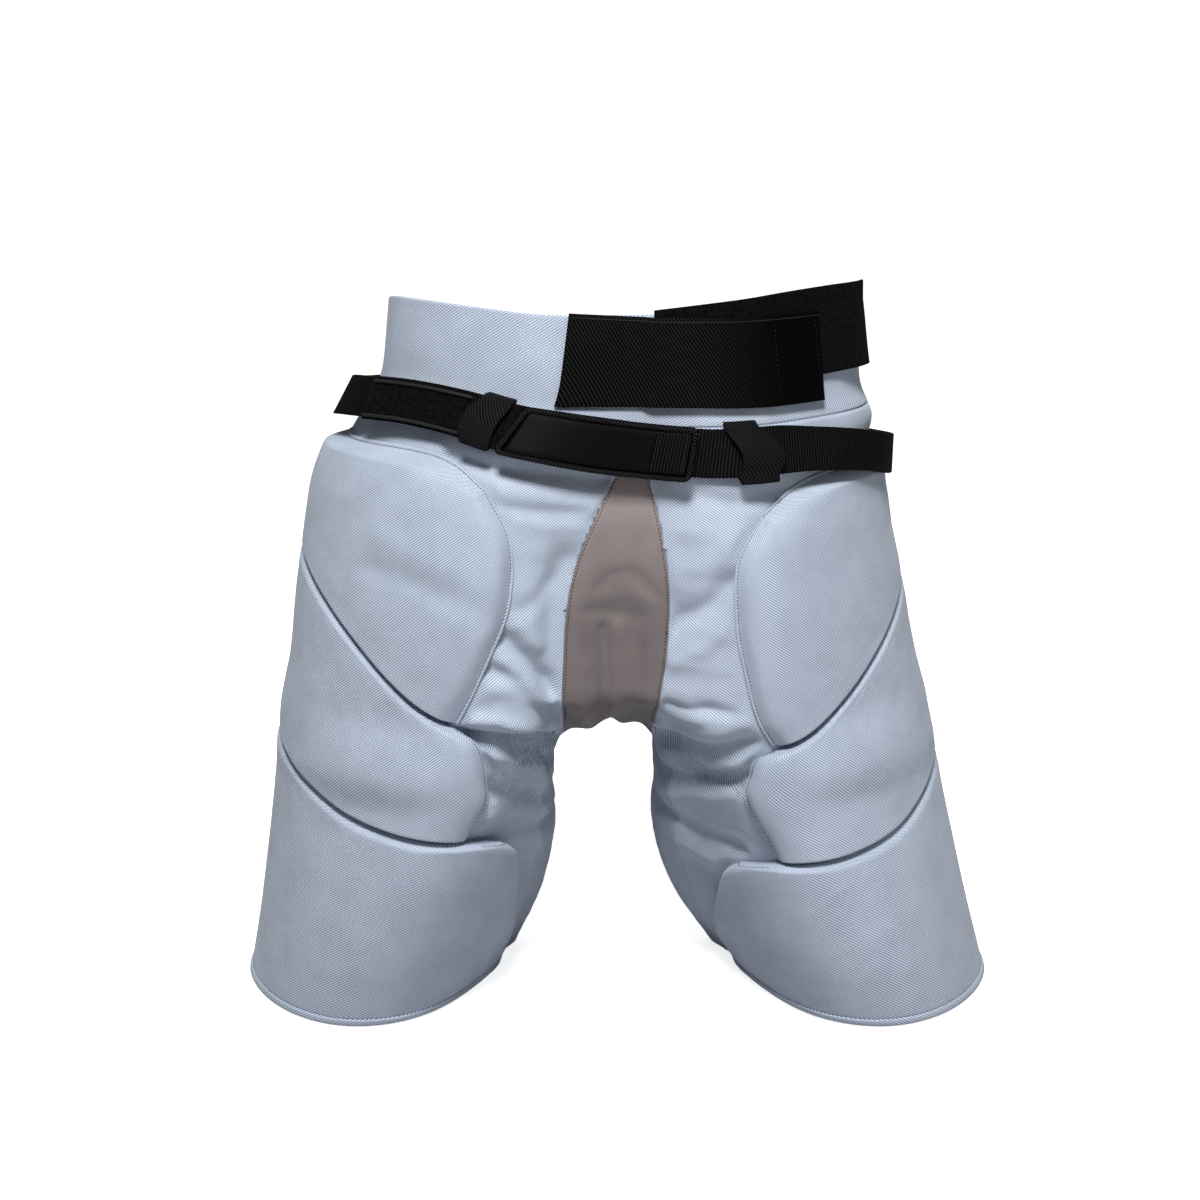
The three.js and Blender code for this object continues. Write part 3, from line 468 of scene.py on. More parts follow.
# %% Folds drawn on the front
CLOTH_FOLDS = (
    # line as (x, height) places, half width, depth outwards
    (((-96, 395), (-62, 390), (-25, 384), (4, 379)), 5, -6.5),
    (((-81, 379), (-44, 372), (-6, 363)), 6, 2),
    (((-72, 369), (-38, 363), (-10, 362)), 3, -1.3),
    (((-60, 359), (-34, 352), (-14, 352)), 4, 1),
    (((-52, 300), (-40, 306), (-31, 318)), 6, -2.5),
    (((-60, 298), (-47, 288), (-38, 276)), 5, 2.6),
    (((-62, 284), (-46, 268), (-27, 244)), 5.5, -5.2),
    (((-66, 274), (-50, 258), (-30, 236)), 4.5, 2),
    (((-72, 265), (-53, 253), (-42, 238), (-27, 223)), 5.5, -3.6),
    (((-78, 249), (-56, 251), (-32, 238)), 6, 2.6),
    (((-92, 230), (-65, 230), (-44, 223), (-27, 211)), 4.5, 6),
    (((-90, 218), (-64, 214), (-44, 203), (-29, 192)), 5, -11),
    (((-88, 209), (-61, 200), (-40, 178)), 5.5, 5),
    (((-54, 204), (-41, 189), (-33, 176)), 4, -7),
    (((-72, 178), (-55, 168), (-37, 148)), 6, -4.6),
    (((-72, 157), (-52, 149), (-36, 141)), 5, 2.8),
    (((-82, 134), (-58, 128), (-36, 127)), 5, -4),
    (((-74, 116), (-54, 112), (-40, 112)), 7, 2.2),
    (((38, 280), (52, 291), (70, 300), (82, 315)), 8, -5.4),
    (((46, 320), (66, 326), (84, 338)), 8, 1.6),
    (((46, 262), (62, 270), (80, 284)), 6, 2),
    (((40, 232), (58, 230), (70, 232), (84, 228)), 4.5, -4),
    (((42, 223), (62, 224), (84, 226)), 4.5, 2.6),
    (((34, 210), (46, 209), (66, 213), (92, 223)), 6, 2.4),
    (((36, 197), (50, 196), (68, 198), (96, 207)), 5, -5.4),
    (((48, 184), (72, 186), (100, 196)), 5.5, 4),
    (((40, 166), (60, 170), (94, 182)), 4.5, -3.6),
    (((46, 152), (70, 160), (98, 172)), 6, 3),
    (((38, 132), (50, 132), (70, 124), (92, 120)), 6, -4.8),
    (((56, 111), (76, 103), (94, 97)), 7, 2.6),
    (((62, 90), (78, 82), (90, 68)), 5, -2.6),
    (((56, 372), (84, 365), (112, 372)), 6, -3.2),
    (((52, 350), (78, 344), (98, 350)), 7, 1.4),
)
SEAM_FOLDS = (
    (((-21, 330), (-27, 304), (-30, 270), (-30, 232), (-28, 214)), 10, -7),
    (((47, 300), (46, 265), (41, 226)), 8, -2.4),
)
PANEL_FOLDS = (
    (((10, 290), (10, 262), (8, 222)), 27, -6),
    (((0, 311), (8, 319), (17, 321), (27, 316), (33, 307)), 4.2, -1.3),
    (((6, 305), (17, 307), (28, 303)), 4, 0.9),
    (((-6, 296), (10, 294), (26, 291)), 4, -1.2),
    (((3, 284), (4, 270), (5, 250), (2, 216)), 3.2, -3),
    (((12, 284), (12, 266), (12, 246), (10, 220)), 5, 1.9),
    (((-9, 258), (-9, 240), (-8, 214)), 5, 1.6),
    (((23, 284), (24, 262), (22, 232)), 5, -1.5),
    (((31, 280), (32, 258), (30, 230)), 4, 1.2),
)
PAD_FOLDS = (
    (((-146, 322), (-127, 320), (-101, 312), (-80, 305), (-60, 293)), 7, -1.5),
    (((-140, 342), (-110, 334), (-84, 327), (-60, 318)), 8, 0.8),
)


def line_distance(line, x, z):
    """Distance of points from a drawn line, as seen from the front."""
    a, b = np.array(line[:-1], float), np.array(line[1:], float)
    p = np.stack([x, z], axis=-1)[..., None, :]
    run = b - a
    t = np.clip(((p - a) * run).sum(-1) / (run * run).sum(-1), 0, 1)
    return np.linalg.norm(p - a - t[..., None] * run, axis=-1).min(axis=-1)


def drawn_folds(folds, points):
    """How far each point moves out."""
    x, z = points[..., 0], points[..., 2]
    return sum(depth * np.exp(-(line_distance(line, x, z) / width) ** 2) for line, width, depth in folds)


print("drawn folds:", len(CLOTH_FOLDS) + len(SEAM_FOLDS) + len(PANEL_FOLDS) + len(PAD_FOLDS))

# %% [markdown]
# ## Thigh pads
# Each pad is a block of foam under the twill. Its stitched edges lie flat on the cloth and rise in a bevel,
# and where two pads meet there is a narrow groove. A patch between four drawn edges gives its outline. A
# profile over the distance from each edge gives the foam its height.

# %% The pads' edges as (reach, level) pairs
PAD_FRONT_HEM = -1.48
PAD_BACK_EDGE = 0.6
UPPER_TOP = ((-0.81, 1.64), (-0.65, 1.692), (-0.47, 1.712), (-0.165, 1.71), (0.25, 1.7), (PAD_BACK_EDGE, 1.68))
UPPER_FRONT = ((-0.85, 1.128), (-0.91, 1.25), (-0.965, 1.36), (-0.972, 1.43), (-0.955, 1.5), (-0.91, 1.565),
               (-0.81, 1.64))
UPPER_GROOVE = ((-0.85, 1.118), (-0.7, 1.162), (-0.567, 1.217), (-0.4, 1.298), (-0.232, 1.373), (-0.05, 1.434),
                (0.25, 1.49), (PAD_BACK_EDGE, 1.51))
MIDDLE_FRONT = ((-0.97, 0.765), (-0.99, 0.84), (-1.02, 0.93), (-1.01, 1), (-0.985, 1.04), (-0.93, 1.092),
                (-0.85, 1.118))
LOWER_GROOVE = ((-0.97, 0.755), (-0.87, 0.768), (-0.722, 0.784), (-0.503, 0.831), (-0.285, 0.915),
                (-0.126, 0.976), (0.15, 1.04), (PAD_BACK_EDGE, 1.07))
LOWER_TOP = ((-1.15, 0.705), *LOWER_GROOVE)
LOWER_FRONT = ((PAD_FRONT_HEM, 0), (-1.5, 0.15), (-1.408, 0.393), (-1.27, 0.614), (-1.15, 0.705))
PAD_FLOOR = HEM_BAND_HEIGHT + PIECE_GAP
PADS = {
    "upper_pad": dict(front=UPPER_FRONT, bottom=UPPER_GROOVE, top=UPPER_TOP, low_edge="roll", high_edge="soft",
                      lowered=PAD_GROOVE / 2, raised=0, floor=0),
    "middle_pad": dict(front=MIDDLE_FRONT, bottom=LOWER_GROOVE, top=UPPER_GROOVE, low_edge="roll",
                       high_edge="facet", lowered=PAD_GROOVE / 2, raised=-PAD_GROOVE / 2, floor=0),
    "lower_pad": dict(front=LOWER_FRONT, bottom=((PAD_FRONT_HEM, 0), (PAD_BACK_EDGE, 0)), top=LOWER_TOP,
                      low_edge="butt", high_edge="facet", lowered=PAD_FLOOR, raised=-PAD_GROOVE / 2,
                      floor=PAD_FLOOR),
}
print("pads on each leg:", list(PADS))


# %% The patch between a pad's four edges
def smooth_stretch(p, i, t):
    """A smooth curve between the points i and i + 1 of a line, at the shares t."""
    before, a, b, after = p[max(i - 1, 0)], p[i], p[i + 1], p[min(i + 2, len(p) - 1)]
    v0, v1 = (b - before) / 2, (after - a) / 2
    return (2 * a - 2 * b + v0 + v1) * t ** 3 + (-3 * a + 3 * b - 2 * v0 - v1) * t ** 2 + v0 * t + a


def edge_curve(points):
    """A smooth curve through points as a function of its own length, 0 to 1, and that length."""
    p = np.array(points, float)
    t = np.linspace(0, 1, 41)[1:, None]
    path = np.concatenate([p[:1], *(smooth_stretch(p, i, t) for i in range(len(p) - 1))])
    along = np.concatenate([[0], np.cumsum(np.linalg.norm(np.diff(path, axis=0), axis=1))])

    def at(share):
        wanted = np.asarray(share, float) * along[-1]
        return np.stack([np.interp(wanted, along, path[:, k]) for k in (0, 1)], axis=-1)

    return at, along[-1]


def pad_patch(pad):
    """Reach and level anywhere between the four edges; s runs front to back and t bottom to top."""
    low, _ = edge_curve(pad["bottom"])
    high, _ = edge_curve(pad["top"])
    front, _ = edge_curve(pad["front"])
    back, _ = edge_curve((pad["bottom"][-1], pad["top"][-1]))

    def at(s, t):
        s, t = np.broadcast_arrays(np.asarray(s, float), np.asarray(t, float))
        sx, tx = s[..., None], t[..., None]
        corners = (low(0.0) * (1 - sx) * (1 - tx) + low(1.0) * sx * (1 - tx) + high(0.0) * (1 - sx) * tx
                   + high(1.0) * sx * tx)
        return low(s) * (1 - tx) + high(s) * tx + front(t) * (1 - sx) + back(t) * sx - corners

    return at


def pad_spot(side, pad, s, t):
    """Reach in mm and height in mm of a place on a pad."""
    spot = pad_patch(pad)(s, t)
    level = spot[..., 1]
    drop = RIGHT_PAD_DROP * smoothstep(level, 0, 0.6) if side == RIGHT else 0
    near = np.exp(-((level - RIGHT_PAD_FORWARD_LEVEL) / 0.16) ** 2) if side == RIGHT else 0
    reach = spot[..., 0] * HIP_HALF_WIDTH - RIGHT_PAD_FORWARD * near * np.maximum(0, -spot[..., 0])
    groove = pad["lowered"] * (1 - t) + pad["raised"] * t
    return reach, np.maximum(height_at(level) - drop + groove, pad["floor"])


def pad_extent(pad):
    """About how long and how tall a pad is, in mm."""
    _, bottom_length = edge_curve(pad["bottom"])
    tall = np.ptp([level for _, level in pad["front"]]) * (BODY_HEIGHT - INSIDE_LEG) * 0.9
    return bottom_length * HIP_HALF_WIDTH, tall


for name, pad in PADS.items():
    print(name, "about", *(round(float(size)) for size in pad_extent(pad)), "mm")

# %% The foam's height over the distance from an edge
PLATEAU = PAD_THICKNESS + 1.4
SEAM_IN = 2.6
BEVEL = 5.2


def ramp(distance, start, width):
    """A straight bevel with softened ends."""
    straight = np.clip((distance - start) / width, 0, 1)
    return 0.55 * straight + 0.45 * smoothstep(distance, start - 0.08 * width, start + 1.08 * width)


def edge_profile(kind, distance, gentle=1.0):
    if kind == "soft":
        flange = 0.9 + 0.8 * (1 - np.exp(-distance / 0.8)) - 0.5 * np.exp(-((distance - SEAM_IN) / 0.7) ** 2)
        crown = 1 - np.exp(-np.maximum(distance - SEAM_IN, 0) / 17)
        soft = BEVEL * ramp(distance, SEAM_IN + 0.5, 8.5) + (PLATEAU - 1.7 - BEVEL) * crown
        steep = (PLATEAU - 1.7) * ramp(distance, SEAM_IN + 0.3, 6.5)
        return flange + soft * gentle + steep * (1 - gentle)
    if kind == "facet":
        return 10.4 + (PLATEAU - 10.4) * ramp(distance, 0.4, 7) - 1.6 * np.exp(-(distance / 0.7) ** 2)
    if kind == "roll":
        round_edge = np.sqrt(np.clip(1 - (1 - np.clip(distance / 3, 0, 1)) ** 2, 0, 1))
        return 10.5 + (PLATEAU - 10.5) * round_edge
    return PLATEAU - 0.8 * np.exp(-(distance / 0.8) ** 2)


def soft_least(a, b, width=2.6):
    """The smaller of two heights, with the crease between them rounded."""
    h = np.clip(width - np.abs(a - b), 0, width) / width
    return np.minimum(a, b) - h * h * width / 4


print("foam 1, 5 and 20 mm in from a soft edge:", np.round(edge_profile("soft", np.array([1.0, 5, 20])), 1), "mm")

# %% The grid of a pad
PAD_STEP = 3.6


def crowded(width, step, edge_steps=(0, 0.35, 0.8, 1.4, 2.1, 2.8, 3.5, 4.4, 5.5, 7, 9, 11, 13, 15, 17.5)):
    """Shares from 0 to 1 that lie close together near both ends."""
    near = np.array(edge_steps) / width
    middle = np.linspace(near[-1], 1 - near[-1], max(3, int((width - 2 * edge_steps[-1]) / step)) + 1)[1:-1]
    return np.concatenate([near, middle, 1 - near[::-1]])


def run_lengths(points, axis):
    steps = np.linalg.norm(np.diff(points, axis=axis), axis=-1)
    zero = np.zeros_like(np.take(steps, [0], axis=axis))
    return np.cumsum(np.concatenate([zero, steps], axis=axis), axis=axis)


def pad_shares(pad):
    """Shares along and up a pad for its fine grid, close together at the seams."""
    return tuple(crowded(size, PAD_STEP) for size in pad_extent(pad))


def pad_grid(side, pad, s, t):
    """The pad's grid: where each point lies on the cloth, the foam's height there and the flat cloth."""
    reach, height = pad_spot(side, pad, s[:, None], t[None, :])
    surface = cloth_point(side, reach, height, PAD_THICKNESS)
    along, up = run_lengths(surface, 0), run_lengths(surface, 1)
    heights = [
        edge_profile("soft", along),
        edge_profile("soft", along[-1:] - along),
        edge_profile(pad["low_edge"], up),
        edge_profile(pad["high_edge"], up[:, -1:] - up, 1 - smoothstep(along, 30, 85)),
    ]
    foam = soft_least(soft_least(heights[0], heights[1]), soft_least(heights[2], heights[3]))
    return reach, height, foam, along, up, slope_stretch(reach, height, heights)


def slope_stretch(reach, height, heights):
    """How much further the flat cloth reaches where it runs down the side of the foam."""
    flat = np.stack([reach, height], axis=-1)
    ways = [unit(np.gradient(flat, axis=axis)) for axis in (0, 1)]
    nearest = np.minimum.reduce(heights)
    shift = 0
    for low, (axis, sign) in zip(heights, ((0, -1), (0, 1), (1, -1), (1, 1))):
        share = np.exp(-(low - nearest) / 0.8)
        shift = shift + ways[axis] * (sign * 0.85 * share * (PLATEAU - np.minimum(low, PLATEAU)))[..., None]
    return shift


print("points of one pad:", pad_grid(LEFT, PADS["upper_pad"], *pad_shares(PADS["upper_pad"]))[0].size)

# %% [markdown]
# ## Let the covers swell
# A real cover is pulled tight over springy foam, so it bulges between its seams. A coarse copy of each pad
# is blown up in a cloth simulation while its seams and its back are held, and the fine cover then takes
# over how far the copy moved. The fine cover keeps its flat-cloth map and its thin seams this way.

# %% A cloth simulation of one coarse cover
SWELL_FRAMES = 20
SWELL_PRESSURE = 4.0
SWELL_MOST = 5.0
FOAM_SHRUNK = 0.88
COARSE_STEP = 8.5


def simulated_swell(name, under, over):
    """How far each point of the coarse cover moves, in mm, with its border and its back held."""
    columns, rows = over.shape[:2]
    trial = plate(name + "_trial", under, over, np.arange(columns), np.arange(rows))
    count = columns * rows
    border = np.ones((columns, rows), bool)
    border[1:-1, 1:-1] = False
    held = trial.vertex_groups.new(name="held")
    held.add([*range(count), *(count + np.flatnonzero(border.ravel())).tolist()], 1.0, "REPLACE")
    cover = trial.modifiers.new("cover", "CLOTH")
    cover.settings.quality = 8
    cover.settings.mass = 0.03
    cover.settings.tension_stiffness = cover.settings.compression_stiffness = 15
    cover.settings.bending_stiffness = 8
    cover.settings.use_pressure = True
    cover.settings.uniform_pressure_force = SWELL_PRESSURE
    cover.settings.vertex_group_mass = "held"
    cover.settings.effector_weights.gravity = 0
    cover.collision_settings.use_collision = False
    for frame_number in range(1, SWELL_FRAMES + 1):
        bpy.context.scene.frame_set(frame_number)
    shape = trial.evaluated_get(bpy.context.evaluated_depsgraph_get()).data
    after = np.empty(len(shape.vertices) * 3)
    shape.vertices.foreach_get("co", after)
    moved = after.reshape(-1, 3)[count:] / MM - FRAME_SHIFT - over.reshape(-1, 3)
    far = np.linalg.norm(moved, axis=1, keepdims=True)
    moved *= np.minimum(1, SWELL_MOST / np.maximum(far, 1e-6))
    bpy.data.objects.remove(trial)
    bpy.context.scene.frame_set(1)
    return moved.reshape(over.shape)


print("frames of each simulation:", SWELL_FRAMES)


# %% The fine covers take over the swelling
def between_points(field, s_from, t_from, s, t):
    """Values of a coarse grid at the shares of a fine one."""
    i = np.clip(np.searchsorted(s_from, s) - 1, 0, len(s_from) - 2)
    j = np.clip(np.searchsorted(t_from, t) - 1, 0, len(t_from) - 2)
    f = ((s - s_from[i]) / (s_from[i + 1] - s_from[i]))[:, None, None]
    g = ((t - t_from[j]) / (t_from[j + 1] - t_from[j]))[None, :, None]
    f, g = f * f * (3 - 2 * f), g * g * (3 - 2 * g)
    low = field[i][:, j] * (1 - f) + field[i + 1][:, j] * f
    high = field[i][:, j + 1] * (1 - f) + field[i + 1][:, j + 1] * f
    return low * (1 - g) + high * g


def over_foam(side, reach, height, foam):
    """The cover over the foam, which evens out the cloth's big folds."""
    return cloth_point(side, reach, height, PIECE_GAP + foam, 1 - 0.85 * smoothstep(foam, 4, 13))


def swell_of(side, name):
    pad = PADS[name]
    fine_s, fine_t = pad_shares(pad)
    length, tall = pad_extent(pad)
    s = np.linspace(0, 1, int(length / COARSE_STEP) + 1)
    t = np.linspace(0, 1, max(8, int(tall / COARSE_STEP)) + 1)
    reach, height, foam = pad_grid(side, pad, s, t)[:3]
    under = cloth_point(side, reach, height, PIECE_GAP)
    over = over_foam(side, reach, height, foam * FOAM_SHRUNK)
    moved = simulated_swell(side_name(side, name), under, over)
    return between_points(moved, s, t, fine_s, fine_t)


swells = {(side, name): swell_of(side, name) for side in (LEFT, RIGHT) for name in PADS}
for (side, name), moved in swells.items():
    print(side_name(side, name), "swells by up to", round(float(np.linalg.norm(moved, axis=-1).max()), 1), "mm")

# %% Foam blocks in their cloth covers
pad_bases, pad_tops = [], {}


def make_pad(side, name):
    pad = PADS[name]
    reach, height, foam, along, up, stretch = pad_grid(side, pad, *pad_shares(pad))
    foam = foam * (1 - (1 - FOAM_SHRUNK) * smoothstep(foam, 4, 12))
    under = cloth_point(side, reach, height, PIECE_GAP)
    over = over_foam(side, reach, height, foam)
    over = over + swells[side, name] * smoothstep(foam, 2, 8)[..., None]
    front = (over[..., 1] < 0) * smoothstep(foam, 3, 12)
    over = over + outward(side, reach, height) * (drawn_folds(PAD_FOLDS, over) * front)[..., None]
    pad_bases.append(under.reshape(-1, 3))
    pad_tops[side, name] = dict(over=over, along=along, up=up)
    full = side_name(side, name)
    piece = wear(plate(full + "_cover", under, over, -reach - stretch[..., 0], height + stretch[..., 1]), full)
    return piece


pads = {(side, name): make_pad(side, name) for side in (LEFT, RIGHT) for name in PADS}
print("pads:", len(pads), "faces of one:", len(pads[LEFT, "upper_pad"].data.polygons))


# %% Hem bands under the lower pads
HEM_STEPS = 150


def make_hem_band(side):
    reach = np.linspace(PAD_FRONT_HEM, PAD_BACK_EDGE, HEM_STEPS)[:, None] * HIP_HALF_WIDTH
    rows = np.array([0, 0.35, 0.9, 1.8, 3, 4.2, 5.1, 5.65, 6])[None, :]
    ends = np.minimum(reach - reach[0], reach[-1] - reach)
    foam = PLATEAU - 2.2 * np.exp(-(rows / 0.8) ** 2) - 0.9 * np.exp(-((HEM_BAND_HEIGHT - rows) / 0.6) ** 2)
    foam = np.minimum(foam, edge_profile("soft", ends))
    foam = foam * (1 - (1 - FOAM_SHRUNK) * smoothstep(foam, 4, 12))
    under = cloth_point(side, reach, rows, PIECE_GAP)
    over = cloth_point(side, reach, rows, PIECE_GAP + foam)
    full = side_name(side, "hem_band")
    piece = wear(plate(full + "_roll", under, over, -reach[:, 0], rows[0]), full)
    return piece


hem_bands = [make_hem_band(side) for side in (LEFT, RIGHT)]
print("faces of a hem band:", len(hem_bands[0].data.polygons))

# %% [markdown]
# ## The cloth of the legs, hips and crotch
# The twill shell and the taupe crotch panel are one surface that a seam divides. It is built as one fine
# grid, smoothed where the two legs meet, cut along the panel's outline and then given its thickness.

# %% Outline of the crotch panel
GUSSET_MIDDLE = 0.06
GUSSET_FRONT = ((0.014, 1.72), (-0.014, 1.658), (-0.07, 1.579), (-0.133, 1.485), (-0.17, 1.378), (-0.182, 1.256),
                (-0.187, 1.177), (-0.187, 0.955), (0.12, 0.955), (0.127, 1.061), (0.145, 1.179), (0.163, 1.26),
                (0.174, 1.382), (0.16, 1.482), (0.133, 1.578), (0.101, 1.665), (0.08, 1.72))
GUSSET_BACK = ((-0.06, 1.5), (-0.16, 1.35), (-0.2, 1.22), (-0.187, 1.08), (-0.187, 0.955), (0.12, 0.955),
               (0.127, 1.061), (0.16, 1.2), (0.14, 1.35), (0.06, 1.5))


def rounded_outline(points, steps=10):
    """The outline in mm, as smooth curves up to the two points at each end."""
    flat = np.array(points, float)
    flat = np.stack([(flat[:, 0] + GUSSET_MIDDLE) * HIP_HALF_WIDTH, height_at(flat[:, 1])], axis=1)
    low = int(np.argmax(flat[:, 0] * (flat[:, 1] < height_at(1.0)) + (flat[:, 1] < height_at(1.0)) * 1000))
    t = (np.arange(steps) / steps)[:, None]
    path = []
    for part in (flat[:low], flat[low:]):
        path += [smooth_stretch(part, i, t) for i in range(len(part) - 1)]
        path.append(part[-1:])
    return np.concatenate(path)


GUSSET_FRONT_MM = rounded_outline(GUSSET_FRONT)
GUSSET_BACK_MM = rounded_outline(GUSSET_BACK)
print("outline points, front and back:", len(GUSSET_FRONT_MM), len(GUSSET_BACK_MM))


# %% Distance from the panel's seam
def outline_distance(outline, x, z):
    """Distance to a closed outline, negative inside it."""
    a, b = outline, np.roll(outline, -1, axis=0)
    p = np.stack([x, z], axis=-1)[:, None]
    run = (b - a)[None]
    t = np.clip(((p - a) * run).sum(-1) / (run * run).sum(-1), 0, 1)
    nearest = np.linalg.norm(p - a - t[..., None] * run, axis=-1).min(axis=1)
    crosses = (a[:, 1] > p[..., 1]) != (b[:, 1] > p[..., 1])
    with np.errstate(divide="ignore", invalid="ignore"):
        at = a[:, 0] + (p[..., 1] - a[:, 1]) * (b[:, 0] - a[:, 0]) / (b[:, 1] - a[:, 1])
    inside = (crosses & (p[..., 0] < at)).sum(axis=1) % 2 == 1
    return np.where(inside, -nearest, nearest)


def panel_distance(points):
    """Distance of points from the panel's seam, seen from the front or, behind the middle, from the back."""
    front = outline_distance(GUSSET_FRONT_MM, points[:, 0], points[:, 2])
    back = outline_distance(GUSSET_BACK_MM, points[:, 0], points[:, 2])
    return np.where(points[:, 1] < 0, front, back)


seam_way = -panel_distance(np.array([[0.0, -90, 250]]))[0]
print("the panel's middle lies", round(float(seam_way), 1), "mm inside its seam")

# %% Rows of points round a leg
CROTCH_LEVEL = 1.02
SHELL_TOP = BODY_HEIGHT - WAISTBAND_WIDTH - PIECE_GAP
ARC_SHARES = np.concatenate([np.linspace(0, 0.36, 76)[:-1], np.linspace(0.36, 1, 61)])
THIGH_COLUMNS = 40
crotch_height = float(height_at(CROTCH_LEVEL))
leg_rows = np.linspace(0, crotch_height, 76)
hip_rows = np.linspace(crotch_height, SHELL_TOP, 85)[1:]


def arc_rows(side, heights):
    share = ARC_SHARES[None, :]
    height = heights[:, None] * np.ones_like(share)
    reach = share * from_table(arc_length, height) - from_table(arc_front, height)
    return reach, height, cloth_point(side, reach, height)


def thigh_rows(side, heights):
    flat = from_table_rows(thigh_table, heights)
    wanted = np.linspace(0, THIGH_SAMPLES, THIGH_COLUMNS + 1)[1:-1]
    i = np.minimum(wanted.astype(int), THIGH_SAMPLES - 1)
    f = (wanted - i)[None, :, None]
    flat = flat[:, i] * (1 - f) + flat[:, i + 1] * f
    return slump(side, flat, heights[:, None] * np.ones((1, len(wanted))))


def from_table_rows(table, heights):
    low, part = table_row(heights)
    return table[low] * (1 - part)[:, None, None] + table[low + 1] * part[:, None, None]


print("points of a thigh row:", thigh_rows(LEFT, leg_rows[:1]).shape[1])


# %% Both legs and the hips put together
def body_grid():
    """Points, faces and flat-cloth places of the whole outer surface, its doubles still unmerged."""
    points, faces, flats, start = [], [], [], 0
    for side in (LEFT, RIGHT):
        for heights, with_thigh in ((leg_rows, True), (np.append(leg_rows[-1:], hip_rows), False)):
            reach, height, arc = arc_rows(side, heights)
            flat = np.stack([-reach, height], axis=-1)
            if with_thigh:
                thigh = thigh_rows(side, heights)
                steps = np.linspace(0, 1, THIGH_COLUMNS + 1)[None, 1:-1] * 130
                thigh_flat = np.stack([-(reach[:, -1:] + steps), height[:, :1] + 0 * steps], axis=-1)
                arc, flat = np.concatenate([arc, thigh], axis=1), np.concatenate([flat, thigh_flat], axis=1)
            rows, columns = arc.shape[:2]
            ids = np.arange(rows * columns).reshape(rows, columns) + start
            wrap = np.concatenate([ids, ids[:, :1]], axis=1) if with_thigh else ids
            quads = np.stack([wrap[:-1, :-1], wrap[:-1, 1:], wrap[1:, 1:], wrap[1:, :-1]], axis=-1).reshape(-1, 4)
            faces.append(quads if side == RIGHT else quads[:, ::-1])
            points.append(arc.reshape(-1, 3))
            flats.append(flat.reshape(-1, 2))
            start += rows * columns
    return np.concatenate(points), np.concatenate(faces), np.concatenate(flats)


body_points, body_faces, body_flat = body_grid()
print("body grid:", len(body_points), "points", len(body_faces), "faces")


# %% Smooth the crotch, where the legs meet in a sharp crease
def neighbour_mean(points, edges):
    total = np.zeros_like(points)
    count = np.zeros(len(points))
    for a, b in ((0, 1), (1, 0)):
        np.add.at(total, edges[:, a], points[edges[:, b]])
        np.add.at(count, edges[:, a], 1)
    return total / np.maximum(count, 1)[:, None]


def merged(points, faces, flat):
    """The same surface with points that coincide made one."""
    keys = np.round(points / 0.02).astype(np.int64)
    _, first, back = np.unique(keys, axis=0, return_index=True, return_inverse=True)
    return points[first], back.reshape(-1)[faces], flat[faces]


body_points, body_faces, body_uv = merged(body_points, body_faces, body_flat)
body_edges = np.unique(np.sort(np.concatenate(
    [body_faces[:, [k, (k + 1) % 4]] for k in range(4)]), axis=1), axis=0)
near_crotch = (1 - smoothstep(np.abs(body_points[:, 0]), 30, 62)) * smoothstep(body_points[:, 2], 150, 180) \
    * (1 - smoothstep(body_points[:, 2], 225, 262))
for _ in range(60):
    body_points += (neighbour_mean(body_points, body_edges) - body_points) * 0.6 * near_crotch[:, None]
print("merged body:", len(body_points), "points")

# %% [markdown]
# ## The arch between the legs
# On the real shorts the crotch is a nearly flat arch, while two round legs that meet make a pointed one. A
# soft pull upwards on both sides of the middle, like a grab brush, flattens it before the folds are drawn.

# %% Lift the two sides of the crotch, so its arch is flat
CROTCH_MIDDLE = 3
CROTCH_LIFT = 14
off_middle = np.abs(body_points[:, 0] - CROTCH_MIDDLE)
beside = smoothstep(off_middle, 5, 28) * (1 - smoothstep(off_middle, 44, 74))
level_share = smoothstep(body_points[:, 2], 125, 168) * (1 - smoothstep(body_points[:, 2], 198, 242))
body_points[:, 2] += CROTCH_LIFT * beside * level_share
print("crotch points lifted:", int((beside * level_share > 0.1).sum()))


# %% [markdown]
# ## Drawing the folds
# The drawn lines move each point along the cloth's own direction, on the side that is seen from the front.
# Under the pads the cloth only moves inwards, so it never comes through a cover.

# %% Directions, distances and wrinkles
def point_normals(points, faces):
    """The outward direction at each point of the body."""
    a, b, c, d = (points[faces[:, k]] for k in range(4))
    across = np.cross(c - a, d - b)
    total = np.zeros_like(points)
    for k in range(4):
        np.add.at(total, faces[:, k], across)
    return unit(total)


def far_from(points, others, start, end):
    """0 close to the other points, 1 away from them."""
    tree = KDTree(len(others))
    for k, place in enumerate(others.tolist()):
        tree.insert(place, k)
    tree.balance()
    return smoothstep(np.array([tree.find(p)[2] for p in points.tolist()]), start, end)


def wrinkle(points):
    """Fine uneven wrinkles that run mostly across the leg, -1 to 1."""
    return np.array([noise.noise(Vector((x / 30, y / 30, z / 9 + x / 40))) + 0.5 * noise.noise(
        Vector((x / 13 + 7, y / 13, z / 5 + x / 22))) for x, y, z in points.tolist()])


